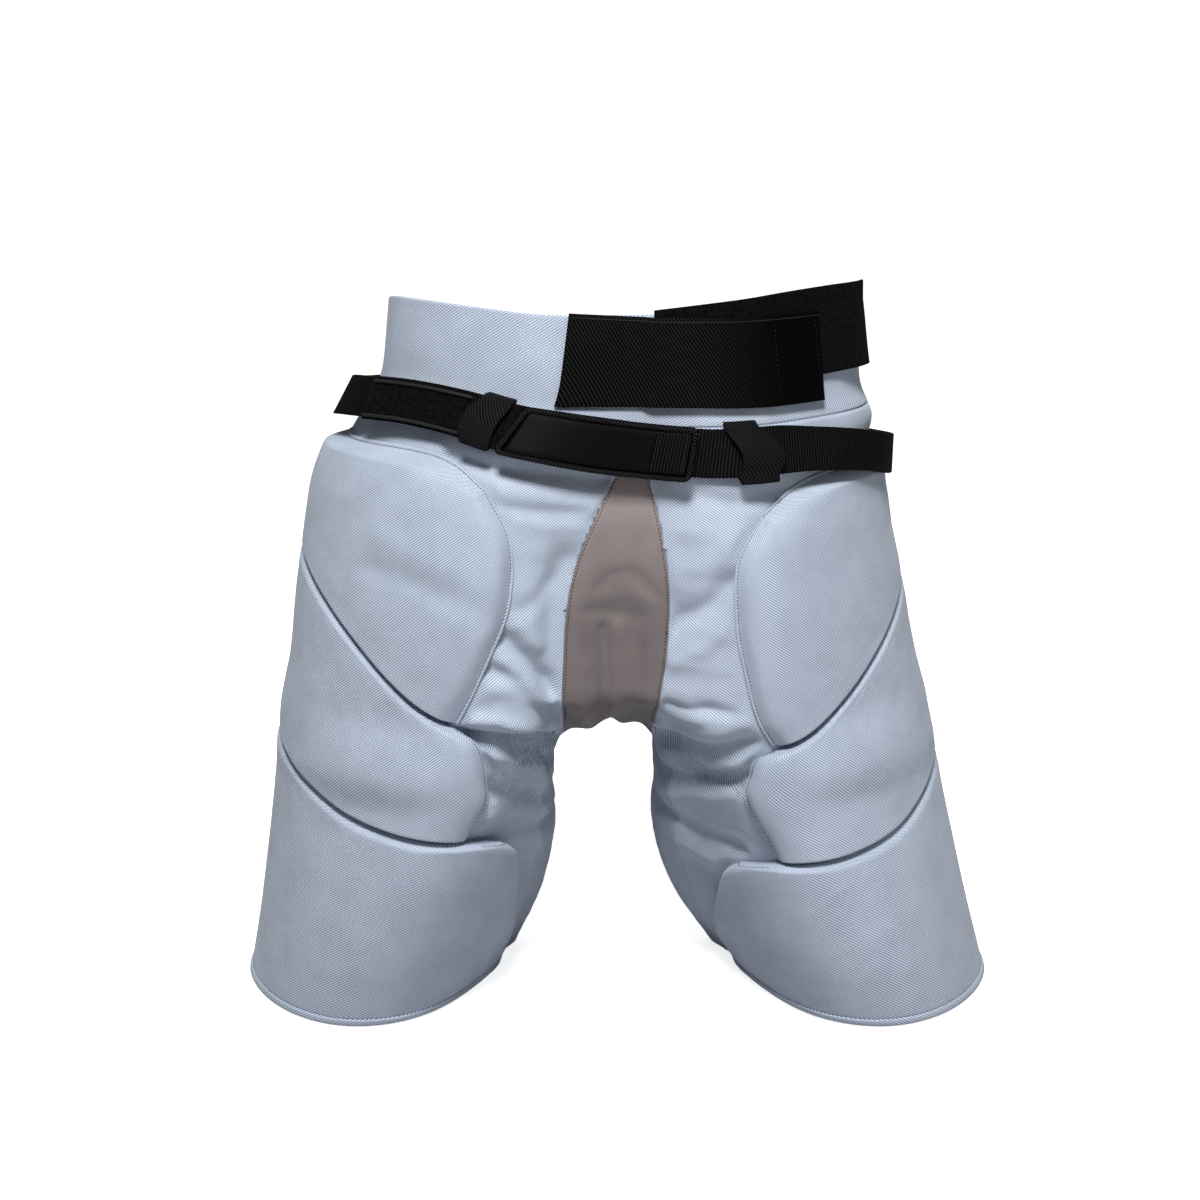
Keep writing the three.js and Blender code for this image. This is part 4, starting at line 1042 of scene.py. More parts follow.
# %% Move the cloth along its own direction
body_normals = point_normals(body_points, body_faces)
if body_normals[np.argmin(body_points[:, 1]), 1] > 0:
    body_normals = -body_normals
seen_in_front = smoothstep(-body_normals[:, 1], -0.15, 0.25)
open_cloth = far_from(body_points, np.concatenate(pad_bases), 2.5, 7)
from_seam = panel_distance(body_points)
in_panel = smoothstep(-from_seam, 0.5, 3)
on_twill = smoothstep(from_seam, 0.5, 3)
moved = drawn_folds(CLOTH_FOLDS, body_points) * on_twill * seen_in_front
moved += drawn_folds(PANEL_FOLDS, body_points) * in_panel * seen_in_front
moved += drawn_folds(SEAM_FOLDS, body_points) * seen_in_front
near_groin = np.exp(-((body_points[:, 2] - 205) / 75) ** 2)
moved += wrinkle(body_points) * (0.35 + 1.1 * near_groin) * on_twill
moved = np.where(moved > 0, moved * open_cloth, moved)
moved -= 0.8 * np.exp(-(from_seam / 1.8) ** 2)
body_points += body_normals * moved[:, None]
print("folds move the cloth by", round(float(moved.min()), 1), "to", round(float(moved.max()), 1), "mm")


# %% [markdown]
# ## Cutting the panel's seam
# A boolean would leave a ragged edge on folded cloth. Here every edge that crosses the seam is split where
# the distance from the seam is zero. The two parts are then separate pieces, and Solidify gives each its
# wall, inwards. A hair's breadth is left between them.

# %% Split the cloth along the seam
SEAM_HALF_GAP = 0.17


def body_mesh():
    mesh = bmesh.new()
    verts = [mesh.verts.new(p) for p in body_points]
    layer = mesh.loops.layers.uv.new("flat_cloth")
    for face, uv in zip(body_faces.tolist(), body_uv * MM):
        made = mesh.faces.new([verts[k] for k in face])
        made.smooth = True
        for loop, place in zip(made.loops, uv):
            loop[layer].uv = place
    return mesh


def cut_at(mesh, level):
    """Splits every edge and face where the distance from the seam has this value."""
    mesh.verts.index_update()
    value = panel_distance(np.array([v.co for v in mesh.verts])) - level
    value[np.abs(value) < 1e-4] = 1e-4
    made = []
    for edge in list(mesh.edges):
        a, b = edge.verts
        fa, fb = value[a.index], value[b.index]
        if fa * fb < 0 and (a.co.y < 0) == (b.co.y < 0):
            made.append(bmesh.utils.edge_split(edge, a, fa / (fa - fb))[1])
    made = set(made)
    for face in list(mesh.faces):
        ends = [v for v in face.verts if v in made]
        if len(ends) == 2:
            bmesh.utils.face_split(face, ends[0], ends[1])
    mesh.verts.index_update()


def open_seam(mesh, side):
    """Moves the cut edge back from the seam, so the two cloths do not touch."""
    edge = [v for v in mesh.verts if v.is_boundary]
    places = np.array([v.co for v in edge])
    near = np.abs(panel_distance(places)) < 0.3
    step = 0.5
    slope = np.stack([panel_distance(places + np.eye(3)[k] * step) - panel_distance(places - np.eye(3)[k] * step)
                      for k in (0, 2)], axis=1)
    slope /= np.maximum(np.linalg.norm(slope, axis=1, keepdims=True), 1e-6)
    for v, close, (x, z) in zip(edge, near, slope):
        if close:
            v.co.x += side * SEAM_HALF_GAP * x
            v.co.z += side * SEAM_HALF_GAP * z


def keep_side(mesh, keep):
    """Deletes the faces whose middle is not where it should be."""
    middles = np.array([f.calc_center_median() for f in mesh.faces])
    distance = panel_distance(middles)
    gone = [f for f, d in zip(mesh.faces, distance) if not keep(d)]
    bmesh.ops.delete(mesh, geom=gone, context="FACES")


print("gap between the two cloths:", 2 * SEAM_HALF_GAP, "mm")


# %% A cloth piece with its wall
def cloth_piece(name, mesh, wall):
    """Writes the mesh to a piece in metres and gives it its wall, inwards."""
    bmesh.ops.translate(mesh, vec=FRAME_SHIFT, verts=mesh.verts)
    bmesh.ops.scale(mesh, vec=(MM, MM, MM), verts=mesh.verts)
    bmesh.ops.recalc_face_normals(mesh, faces=mesh.faces)
    data = bpy.data.meshes.new(name)
    mesh.to_mesh(data)
    mesh.free()
    piece = bpy.data.objects.new(name, data)
    bpy.context.scene.collection.objects.link(piece)
    solid = piece.modifiers.new("wall", "SOLIDIFY")
    solid.thickness = wall * MM
    solid.offset = -1
    apply_modifiers(piece)
    return piece


def apply_modifiers(piece):
    bpy.ops.object.select_all(action="DESELECT")
    bpy.context.view_layer.objects.active = piece
    piece.select_set(True)
    for modifier in list(piece.modifiers):
        bpy.ops.object.modifier_apply(modifier=modifier.name)
    piece.select_set(False)


SHELL_WALL, PANEL_WALL = CLOTH_WALL - 0.3, CLOTH_WALL - 0.5
print("walls:", round(SHELL_WALL, 1), "and", PANEL_WALL, "mm")

# %% The shell and the crotch panel
whole = body_mesh()
cut_at(whole, 0)
panel_mesh = whole.copy()
keep_side(whole, lambda d: d > 0)
keep_side(panel_mesh, lambda d: d < 0)
open_seam(whole, 1)
open_seam(panel_mesh, -1)
shell = wear(cloth_piece("shorts_twill", whole, SHELL_WALL), "shell")
crotch_panel = wear(cloth_piece("crotch_panel_knit", panel_mesh, PANEL_WALL), "gusset")
print("areas:", round(measured(shell), 4), round(measured(crotch_panel), 4))

# %% [markdown]
# ## Waistband, elastic and loop panel
# These are flat strips that lie on the waist in layers: the twill waistband, the brushed loop panel over it
# and the wide elastic over both. Each is a plate between two grids, whose edges are rounded a little.

# %% Strips that lie on a hoop around the body
WAIST_BOTTOM = BODY_HEIGHT - WAISTBAND_WIDTH
waist_length = float(from_table(arc_length, BODY_HEIGHT))
BELT_CENTRE = BODY_HEIGHT - ELASTIC_WIDTH - BELT_BELOW_ELASTIC - WEBBING_WIDTH / 2
belt_length = float(from_table(arc_length, BELT_CENTRE))
PANEL_LIFT = 2 * PIECE_GAP
ELASTIC_OVER_PANEL = PANEL_LIFT + LOOP_PANEL_THICKNESS + PIECE_GAP


def across_rows(width, rounding=0.9, step=3.0):
    """Distances across a strip, closer together at its two edges."""
    near = np.array([0, 0.25, 0.55, 1]) * rounding
    middle = np.linspace(rounding, width - rounding, max(3, int(width / step)) + 1)[1:-1]
    return np.concatenate([near, middle, width - near[::-1]])


def rounded(distance, rounding=0.9):
    """1 inside a strip and less towards its edge, as a round edge."""
    t = np.clip(distance / rounding, 0, 1)
    return np.sqrt(np.clip(1 - (1 - t) ** 2, 0, 1))


print("points across the webbing:", len(across_rows(WEBBING_WIDTH)))


# %% A strip, and wearing it on the body
def strip(name, shares, bottom, top, lift_low, lift_high, thickness, ruled, closed=False, end_round=0.9,
          length=waist_length, bulge=None, slant=None):
    """A strip between two heights at each share. A ruled strip is stiff across its width."""
    shares = np.asarray(shares, float)
    width = float(np.mean(top - bottom))
    across = across_rows(width)
    q = (across / width)[None, :]
    low, high = (np.broadcast_to(x, shares.shape)[:, None] for x in (bottom, top))
    lows, highs = (np.broadcast_to(x, shares.shape)[:, None] for x in (lift_low, lift_high))
    distance = np.minimum(across, width - across)[None, :]
    if not closed:
        from_end = np.minimum(shares - shares[0], shares[-1] - shares)[:, None] * length
        distance = np.minimum(distance, from_end * 0.9 / end_round)
    half = thickness / 2 * (0.25 + 0.75 * rounded(distance))
    middle = thickness / 2 + (bulge(shares[:, None] * length, across[None, :]) if bulge else 0)

    def leaned(at):
        return shares[:, None] + (slant(shares[:, None] * length, at) / length if slant else 0)

    def layer(more):
        if not ruled:
            return hoop_point(leaned(q), low + (high - low) * q, lows + (highs - lows) * q + more)
        a = hoop_point(leaned(0.0), low, lows + 0 * q)
        b = hoop_point(leaned(1.0), high, highs + 0 * q)
        out = outward_at_share(shares[:, None], (low + high) / 2 + 0 * q)
        return a + (b - a) * q[..., None] + out * more[..., None]

    along = shares * length
    if closed:
        along = np.append(along, along[0] + 2 * length)
    return plate(name, layer(middle - half + 0 * q), layer(middle + half + 0 * q), along, across, closed)


def outward_at_share(share, height):
    share, height = np.broadcast_arrays(share, height)
    reach = np.abs(share) * from_table(arc_length, height) - from_table(arc_front, height)
    return outward(np.where(share < 0, LEFT, RIGHT), reach, height)


# %% The waistband
def make_waistband():
    shares = np.linspace(-1, 1, 241)[:-1]
    top = BODY_HEIGHT + WAIST_LEFT_RISE * smoothstep(-shares, 0.1, 0.4) \
        - (WAIST_BACK_DROP + np.where(shares < 0, WAIST_LEFT_RISE, 0)) * smoothstep(np.abs(shares), 0.42, 0.85)
    across = across_rows(WAISTBAND_WIDTH, 1.4, 3.0)
    q = (across / WAISTBAND_WIDTH)[None, :]
    height = WAIST_BOTTOM + (top[:, None] - WAIST_BOTTOM) * q
    half = WAISTBAND_WALL / 2 * (0.3 + 0.7 * rounded(np.minimum(across, WAISTBAND_WIDTH - across), 1.4))[None, :]
    under = hoop_point(shares[:, None], height, -WAISTBAND_WALL / 2 - half)
    over = hoop_point(shares[:, None], height, -WAISTBAND_WALL / 2 + half)
    along = np.append(shares, 1) * waist_length
    return plate("waistband_twill", under, over, along, across, closed=True)


waistband = wear(make_waistband(), "waistband")
print("waistband:", round(measured(waistband), 4), "square metres")

# %% The loop panel
LOOP_PANEL_ARCH = 3
LOOP_PANEL_SLANT = 3.5


def make_loop_panel():
    shares = np.linspace(LOOP_PANEL_START, LOOP_PANEL_END, 90) / waist_length
    rise = math.tan(LOOP_PANEL_TILT) * waist_length
    top = BODY_HEIGHT + LOOP_PANEL_RISE + rise * (shares - shares[0])
    top = top + LOOP_PANEL_ARCH * np.sin(math.pi * (shares - shares[0]) / (shares[-1] - shares[0]))
    lift = PANEL_LIFT + LOOP_PANEL_PEEL * smoothstep(shares * waist_length, ELASTIC_END + 10, LOOP_PANEL_END)

    def slant(at, q):
        return LOOP_PANEL_SLANT * (1 - q) * smoothstep(at, 140, LOOP_PANEL_END)

    return strip("loop_panel_fleece", shares, top - LOOP_PANEL_WIDTH, top, lift + PIECE_GAP, lift,
                 LOOP_PANEL_THICKNESS, ruled=False, slant=slant)


loop_panel = wear(make_loop_panel(), "loop_panel")
print("loop panel:", round(measured(loop_panel), 4), "square metres")


# %% The elastic
def elastic_lift(along):
    """How far the elastic lies off the waistband: it climbs onto the loop panel."""
    climb = smoothstep(along, LOOP_PANEL_START - 8, LOOP_PANEL_START)
    return PANEL_LIFT + (ELASTIC_OVER_PANEL - PANEL_LIFT) * climb


def elastic_top(along):
    """Height of the upper edge, which sags a little over the loop panel."""
    return BODY_HEIGHT + ELASTIC_RISE + np.interp(along, (-45, 12, 60, 126), (1.2, -2, -2.8, -3.2))


def make_elastic():
    shares = np.linspace(ELASTIC_START, ELASTIC_END, 110) / waist_length
    along = shares * waist_length
    lift, top = elastic_lift(along), elastic_top(along)
    low = BODY_HEIGHT + ELASTIC_RISE - ELASTIC_WIDTH + np.interp(along, (-45, 30, 80, 126), (3.6, 2.2, 0.6, 0))

    def slant(at, q):
        return -5.5 * (1 - q) * np.exp(-(at - ELASTIC_START) / 14) - 2 * (1 - q) * smoothstep(at, 100, ELASTIC_END)

    return strip("elastic_band", shares, low, top, lift + PIECE_GAP, lift, ELASTIC_THICKNESS, ruled=False,
                 slant=slant)


elastic = wear(make_elastic(), "elastic_strap")
print("elastic:", round(measured(elastic), 4), "square metres")

# %% [markdown]
# ## The belt
# The webbing runs all the way round. On its left half lies a brushed strap, and on that the padded tab with
# its rolled binding. Two woven keepers hold the layers together. Every layer lies on the one below it, so
# each has its own distance from the cloth.

# %% The line of the belt
BELT_LINE = np.array([
    # share, rise, low and high stand off the cloth
    (-1, 0, 0.2, 0.2), (-0.77, 0.25, 0.9, 0.9), (-0.6, 0.5, 1, 1), (-0.45, 0.9, 0.85, 0.9),
    (-0.34, 0.98, 0.5, 0.75), (-0.25, 0.84, 0.3, 0.45), (-0.145, 0.52, 0.12, 0.15), (-0.03, 0.2, 0, 0.02),
    (0.1, 0.02, 0, 0), (0.22, 0.02, 0.4, 0.1), (0.34, -0.2, 1, 0.6), (0.45, -0.6, 1, 0.9),
    (0.6, -0.85, 1, 0.9), (0.77, -0.5, 1, 0.7), (0.9, -0.15, 0.3, 0.3), (1, 0, 0.2, 0.2),
])


def belt_narrowing(share):
    """The belt is squeezed together where it runs over the two hips."""
    left = smoothstep(-share, 0.02, 0.2) * (1 - smoothstep(-share, 0.5, 0.75))
    right = smoothstep(share, 0.17, 0.28) * (1 - smoothstep(share, 0.5, 0.75))
    return 1 - 0.14 * left - 0.1 * right


KEEPER_LIFT = 2 * PIECE_GAP
BELT_LIFT = KEEPER_LIFT + KEEPER_THICKNESS + PIECE_GAP
OVER_PAD = PAD_THICKNESS + 3 * PIECE_GAP
LOOP_STRAP_LIFT = WEBBING_THICKNESS + PIECE_GAP
TAB_LIFT = LOOP_STRAP_LIFT + LOOP_STRAP_THICKNESS + PIECE_GAP


def belt_value(column, share):
    """A smooth curve through the rows of the belt's line."""
    rows, values = BELT_LINE[:, 0], BELT_LINE[:, column]
    slopes = np.gradient(values, rows)
    i = np.clip(np.searchsorted(rows, share - 1e-9, side="left"), 1, len(rows) - 1)
    span = rows[i] - rows[i - 1]
    t = np.clip((share - rows[i - 1]) / span, 0, 1)
    ease = t * t * (3 - 2 * t)
    bend = t * (1 - t) ** 2 * slopes[i - 1] - t * t * (1 - t) * slopes[i]
    smooth = values[i - 1] + (values[i] - values[i - 1]) * ease + bend * span
    return smooth if column == 1 else np.maximum(smooth, 0)


def belt_edges(shares):
    """The belt's middle height, and its lower and upper edge in the middle of the webbing's width."""
    centre = BELT_CENTRE + WEBBING_WIDTH * belt_value(1, shares)
    stand = [BELT_LIFT + (OVER_PAD - BELT_LIFT) * belt_value(k, shares) for k in (2, 3)]
    low = hoop_point(shares, centre - WEBBING_WIDTH / 2, stand[0])
    high = hoop_point(shares, centre + WEBBING_WIDTH / 2, stand[1])
    return centre, low, high


print("belt:", round(2 * belt_length), "mm round")


# %% The webbing and the brushed strap
def belt_strip(name, start, end, width, under, thickness, step=2.2, closed=False, end_round=0.9, bulge=None,
               slant=None):
    shares = np.linspace(start, end, int((end - start) / step) + 2) / belt_length
    if closed:
        shares = np.linspace(-1, 1, 361)[:-1]
    centre = BELT_CENTRE + WEBBING_WIDTH * belt_value(1, shares)
    stands = [BELT_LIFT + (OVER_PAD - BELT_LIFT) * belt_value(k, shares) + under for k in (2, 3)]
    width = width * belt_narrowing(shares)
    return strip(name, shares, centre - width / 2, centre + width / 2, *stands, thickness, ruled=True,
                 closed=closed, end_round=end_round, length=belt_length, bulge=bulge, slant=slant)


webbing = wear(belt_strip("belt_ribbon", -belt_length, belt_length, WEBBING_WIDTH, 0, WEBBING_THICKNESS,
                          closed=True), "belt_webbing")
loop_strap = wear(belt_strip("belt_brushed_strap", LOOP_STRAP_START, LOOP_STRAP_END, LOOP_STRAP_WIDTH,
                             LOOP_STRAP_LIFT, LOOP_STRAP_THICKNESS), "belt_loop_strap")
print("faces of the webbing:", len(webbing.data.polygons))

# %% The tab
inset = BINDING_WIDTH + PIECE_GAP
TAB_LONGER = 8
TAB_SLANT = 8
TAB_END_BAND = 24


def tab_slant(along, q):
    """The tab's left end is cut at a slant."""
    return TAB_SLANT * (q - 0.5) * (1 - smoothstep(along, TAB_START - TAB_LONGER, TAB_START + 45))


tab = wear(belt_strip("belt_tab_face", TAB_START - TAB_LONGER + inset, TAB_END - inset, TAB_WIDTH - 2 * PIECE_GAP,
                      TAB_LIFT, TAB_THICKNESS, step=1.6, slant=tab_slant), "belt_tab")
tab_end = belt_strip("tab_end_band", TAB_END - inset - TAB_END_BAND, TAB_END - inset - 0.8, TAB_WIDTH - 3,
                     TAB_LIFT + TAB_THICKNESS + 0.15, 0.9, step=1.0)
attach(tab_end, "root")
print("tab:", TAB_END - TAB_START + TAB_LONGER, "mm long with its binding")

# %% [markdown]
# ## The keepers
# A keeper is a short woven loop. An oval profile with room for the layers inside is swept along the belt. Real
# ones are soft, so each is slanted, bowed, pinched towards its ends and bulged a little over the belt.

# %% The keepers
def belt_ring(along, profile, slant, bow, pinch, bulge):
    """Sweeps a closed ring of (across, out) places along the belt, slanted, bowed and pinched at its ends."""
    across, out = np.array(profile, float).T
    along = np.asarray(along, float)
    u = across[None, :] / WEBBING_WIDTH
    middle = along.mean()
    front = 0.3 + 0.7 * (out > 0)
    along = middle + (along[:, None] - middle) * (1 - pinch * np.minimum(2 * np.abs(u), 1.2) ** 2)
    shares = (along + slant * u + bow * front * np.cos(math.pi * np.clip(u, -0.5, 0.5))) / belt_length
    across = across[None, :] * belt_narrowing(shares)
    centre, low, high = belt_edges(shares)
    q = (across / WEBBING_WIDTH + 0.5)[..., None]
    sway = bulge * np.sin(math.pi * np.clip(across / WEBBING_WIDTH + 0.5, 0, 1)) * (out > 0)
    return low + (high - low) * q + outward_at_share(shares, centre) * (out[None, :] + sway)[..., None]


def flat_oval(half_width, low, high, radius, steps=5):
    """A rectangle with round corners as (across, out) places, the same number on every call."""
    places = []
    for cx, cy, start in ((half_width - radius, high - radius, 0), (-half_width + radius, high - radius, 90),
                          (-half_width + radius, low + radius, 180), (half_width - radius, low + radius, 270)):
        for angle in np.linspace(start, start + 90, steps):
            turn = math.radians(angle)
            places.append((cx + radius * math.cos(turn), cy + radius * math.sin(turn)))
        if start in (0, 180):
            for f in np.linspace(0.08, 0.92, 12):
                places.append((cx * (1 - 2 * f), high if start == 0 else low))
    return places


def make_keeper(name, centre, stack, held, slant, bow, pinch, bulge):
    along = np.linspace(centre - KEEPER_WIDTH / 2, centre + KEEPER_WIDTH / 2, 17)
    half = held / 2 + PIECE_GAP
    inside = flat_oval(half, -PIECE_GAP, stack + PIECE_GAP, 1.2)
    outside = flat_oval(half + KEEPER_THICKNESS, -PIECE_GAP - KEEPER_THICKNESS, stack + PIECE_GAP + KEEPER_THICKNESS,
                        2.2)
    inner, outer = (belt_ring(along, ring, slant, bow, pinch, bulge) for ring in (inside, outside))
    ring = run_lengths(np.concatenate([outer, outer[:, :1]], axis=1), 1)[0]
    return plate(name, np.swapaxes(inner, 0, 1), np.swapaxes(outer, 0, 1), ring, along - along[0], closed=True)


STRAP_STACK = LOOP_STRAP_LIFT + LOOP_STRAP_THICKNESS
left_keeper = wear(make_keeper("left_keeper_loop", KEEPER_LEFT - 6, STRAP_STACK, LOOP_STRAP_WIDTH + 1,
                               slant=5, bow=-4, pinch=0.16, bulge=2.2), "left_keeper")
right_keeper = wear(make_keeper("right_keeper_loop", KEEPER_RIGHT - 7, WEBBING_THICKNESS, WEBBING_WIDTH + 5,
                                slant=-12, bow=7, pinch=0.12, bulge=3.4), "right_keeper")
print("faces of a keeper:", len(left_keeper.data.polygons))

# %% [markdown]
# ## The tab's binding
# A strip of webbing is rolled round the tab's four sides and whip-stitched. It could be a curve with a round
# bevel, but the line has to follow the belt, so a ring of points is swept along the tab's outline instead.

# %% The line round the tab
BINDING_CORNER = 3.0
BINDING_STEP = 1.8


def binding_line():
    """Places round the tab as (along, across, outward angle), from the tab's middle."""
    half_length = (TAB_END - TAB_START + TAB_LONGER - BINDING_WIDTH) / 2 - BINDING_CORNER
    half_width = (TAB_WIDTH + BINDING_WIDTH) / 2 - BINDING_CORNER
    path = []
    for way_x, way_y, start in ((1, 1, 0), (-1, 1, 90), (-1, -1, 180), (1, -1, 270)):
        for angle in np.linspace(start, start + 90, 6):
            turn = math.radians(angle)
            path.append((way_x * half_length + BINDING_CORNER * math.cos(turn),
                         way_y * half_width + BINDING_CORNER * math.sin(turn), angle))
    loop = []
    for (x0, y0, a0), (x1, y1, a1) in zip(path, path[1:] + path[:1]):
        steps = max(1, int(math.dist((x0, y0), (x1, y1)) / BINDING_STEP))
        if (a1 - a0) % 360 > 60:
            a1 = a0
        for k in range(steps):
            f = k / steps
            loop.append((x0 + (x1 - x0) * f, y0 + (y1 - y0) * f, a0 + (a1 - a0) * f))
    return np.array(loop)


tab_line = binding_line()
print("places round the tab:", len(tab_line))


# %% The binding's roll
def places_on_belt(along, across, out):
    """Points over the belt: along it, across it from its middle, and out from its lower face."""
    shares = np.asarray(along, float) / belt_length
    centre, low, high = belt_edges(shares)
    q = (np.asarray(across) * belt_narrowing(shares) / WEBBING_WIDTH + 0.5)[..., None]
    return low + (high - low) * q + outward_at_share(shares, centre) * np.asarray(out)[..., None]


def make_binding(loop):
    """The roll, the line of its crown and the way out of it there."""
    middle = (TAB_START - TAB_LONGER + TAB_END) / 2
    ring = []
    for angle in np.linspace(0, 360, 13)[:-1]:
        turn = math.radians(angle)
        off = BINDING_WIDTH / 2 * math.cos(turn)
        out = BINDING_THICKNESS / 2 * (1 + math.sin(turn))
        x = loop[:, 0] + off * np.cos(np.radians(loop[:, 2]))
        y = loop[:, 1] + off * np.sin(np.radians(loop[:, 2]))
        ring.append(places_on_belt(middle + x + tab_slant(middle + x, y / TAB_WIDTH + 0.5), y, TAB_LIFT + out))
    ring = np.stack(ring, axis=1)
    count, sides = ring.shape[:2]
    ids = np.arange(count * sides).reshape(count, sides)
    after, beside = np.roll(ids, -1, axis=0), np.roll(ids, -1, axis=1)
    both = np.roll(after, -1, axis=1)
    faces = np.stack([ids, after, both, beside], axis=-1).reshape(-1, 4)
    length = run_lengths(np.concatenate([loop, loop[:1]])[:, :2], 0)
    u, v = np.meshgrid(length, np.linspace(0, math.pi * 4.4, sides + 1), indexing="ij")
    flat = np.stack([u, v], axis=-1)
    uv = grid_corners(flat).reshape(-1, 4, 2)
    crown = ring[:, 3]
    outs = crown - ring.mean(axis=1)
    return (new_mesh("tab_binding_roll", ring.reshape(-1, 3), faces, uv), np.concatenate([crown, crown[:1]]),
            np.concatenate([outs, outs[:1]]))


binding, binding_crown, binding_outs = make_binding(tab_line)
wear(binding, "tab_binding")
print("binding faces:", len(binding.data.polygons))

# %% [markdown]
# ## Stitches
# Dark thread holds the front edge of every pad, the crotch panel and the straps. One stitch is modelled from
# a small sphere, and its copies are set along each seam, a joined mesh for a seam. A stitch has few faces,
# because there are hundreds of them.

# %% One stitch
def make_stitch():
    """A stitch one unit long, wide and high, as points and faces."""
    bpy.ops.object.select_all(action="DESELECT")
    bpy.ops.mesh.primitive_uv_sphere_add(segments=8, ring_count=5, radius=0.5)
    stitch = bpy.context.active_object
    bpy.ops.object.select_all(action="DESELECT")
    points = np.array([v.co for v in stitch.data.vertices])[:, [2, 0, 1]]
    faces = [tuple(f.vertices) for f in stitch.data.polygons]
    bpy.data.objects.remove(stitch)
    return points, faces


stitch_points, stitch_faces = make_stitch()
print("faces of one stitch:", len(stitch_faces))


# %% A row of stitches
def small_piece(name, points, faces):
    """A smooth-shaded piece whose faces may have any number of corners."""
    mesh = bpy.data.meshes.new(name)
    mesh.from_pydata(((points + FRAME_SHIFT) * MM).tolist(), [], faces)
    mesh.polygons.foreach_set("use_smooth", np.ones(len(mesh.polygons), bool))
    piece = bpy.data.objects.new(name, mesh)
    bpy.context.scene.collection.objects.link(piece)
    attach(piece, "root")
    return piece


def stitch_row(name, lines, size, pitch, sink=0.1, turn=0.0, spread=0.0, seed=3):
    """Copies of the stitch along lines of (points, outward directions) in mm, turned against the line."""
    chance = np.random.default_rng(seed)
    points, faces = [], []
    for line, outs in lines:
        along = run_lengths(line, 0)
        for at in np.arange(pitch / 2, along[-1] - pitch / 2, pitch):
            spot = np.array([np.interp(at, along, line[:, k]) for k in range(3)])
            ahead = np.array([np.interp(at + 0.4, along, line[:, k]) for k in range(3)])
            out = np.array([np.interp(at, along, outs[:, k]) for k in range(3)])
            run = (ahead - spot) / max(np.linalg.norm(ahead - spot), 1e-9)
            out = out - run * (out @ run)
            out = out / max(np.linalg.norm(out), 1e-9)
            angle = math.radians(turn + spread * chance.uniform(-1, 1))
            run = run * math.cos(angle) + np.cross(out, run) * math.sin(angle)
            axes = np.stack([run * size[0], np.cross(out, run) * size[1], out * size[2]])
            start = len(points) * len(stitch_points)
            points.append(stitch_points @ axes + spot + out * (size[2] / 2 - sink))
            faces.extend(tuple(k + start for k in face) for face in stitch_faces)
    return small_piece(name, np.concatenate(points), faces)


def stitch_count(row):
    return len(row.data.polygons) // len(stitch_faces)


# %% [markdown]
# ## Stitches on the pads
# The row runs a little inside a pad's edge, in the dent that the thread pulls into the foam. The line is read
# off the finished cover, where the distance from its edge has one value, so the thread lies on the cloth.

# %% The stitched lines of the pads
TOP_STITCHES_END = 42


def pad_seam_lines(side, name):
    """The stitched lines of one pad: its front edge and, where it shows, its top edge."""
    top = pad_tops[side, name]
    over, along, up = top["over"], top["along"], top["up"]
    across = unit(np.cross(np.gradient(over, axis=0), np.gradient(over, axis=1)))
    across = across * (1 if (across[..., 1] < 0).mean() > 0.5 else -1)

    def line(values, grids):
        k = np.argmax(values > SEAM_IN, axis=0)
        each = np.arange(values.shape[1])
        before, after = values[k - 1, each], values[k, each]
        f = ((SEAM_IN - before) / (after - before))[:, None]
        return [g[k - 1, each] * (1 - f) + g[k, each] * f for g in grids]

    front, front_out = line(along, (over, across))
    low, high = up[0], up[0, -1] - up[0]
    use = (high > (1 if name == "middle_pad" else SEAM_IN)) & (low > 1)
    lines = [(front[use], front_out[use])]
    if name != "middle_pad":
        swapped = [np.swapaxes(g, 0, 1)[::-1] for g in (over, across)]
        from_top = np.swapaxes(up[:, -1:] - up, 0, 1)[::-1]
        upper, upper_out = line(from_top, swapped)
        use = top["along"][:, -1] > SEAM_IN
        if name == "lower_pad":
            use &= top["along"][:, -1] < TOP_STITCHES_END
        lines.append((upper[use], upper_out[use]))
    return lines


thread_rows = []
for side in (LEFT, RIGHT):
    for name in PADS:
        full = side_name(side, name + "_stitches")
        thread_rows.append(stitch_row(full, pad_seam_lines(side, name), (1.7, 0.55, 0.4), 2.35))
print("stitches on the left upper pad:", stitch_count(thread_rows[0]))

# %% [markdown]
# ## Stitches round the crotch panel
# A row of brown thread follows the seam on the panel's side. Rays from the front find where the line lies on
# the folded cloth, as snapping to a face would.

# %% Stitches of the crotch panel
PANEL_STITCH_IN = 1.5
body_tree = BVHTree.FromPolygons(body_points.tolist(), body_faces.tolist())


def on_front(x, z):
    """The place and the direction of the cloth at a spot seen from the front."""
    place, out, _, _ = body_tree.ray_cast(Vector((x, -400, z)), Vector((0, 1, 0)))
    if place is None:
        return None
    return np.array(place), np.array(out) * (1 if out.y < 0 else -1)


def panel_seam_line(outline):
    """A line a little inside one side of the panel, on the cloth."""
    run = unit(np.gradient(outline, axis=0))
    inward = np.stack([-run[:, 1], run[:, 0]], axis=1)
    if outline_distance(GUSSET_FRONT_MM, *(outline + inward).T).mean() > 0:
        inward = -inward
    found = [on_front(x, z) for x, z in outline + inward * PANEL_STITCH_IN if 206 < z < 396]
    found = [f for f in found if f is not None]
    return np.array([f[0] for f in found]), np.array([f[1] for f in found])


half_way = int(np.argmin(GUSSET_FRONT_MM[:, 1]))
panel_lines = [panel_seam_line(part) for part in (GUSSET_FRONT_MM[:half_way], GUSSET_FRONT_MM[half_way + 1:])]
panel_row = stitch_row("crotch_panel_stitches", panel_lines, (1.5, 0.6, 0.5), 2.4)
print("stitches on the panel:", stitch_count(panel_row))

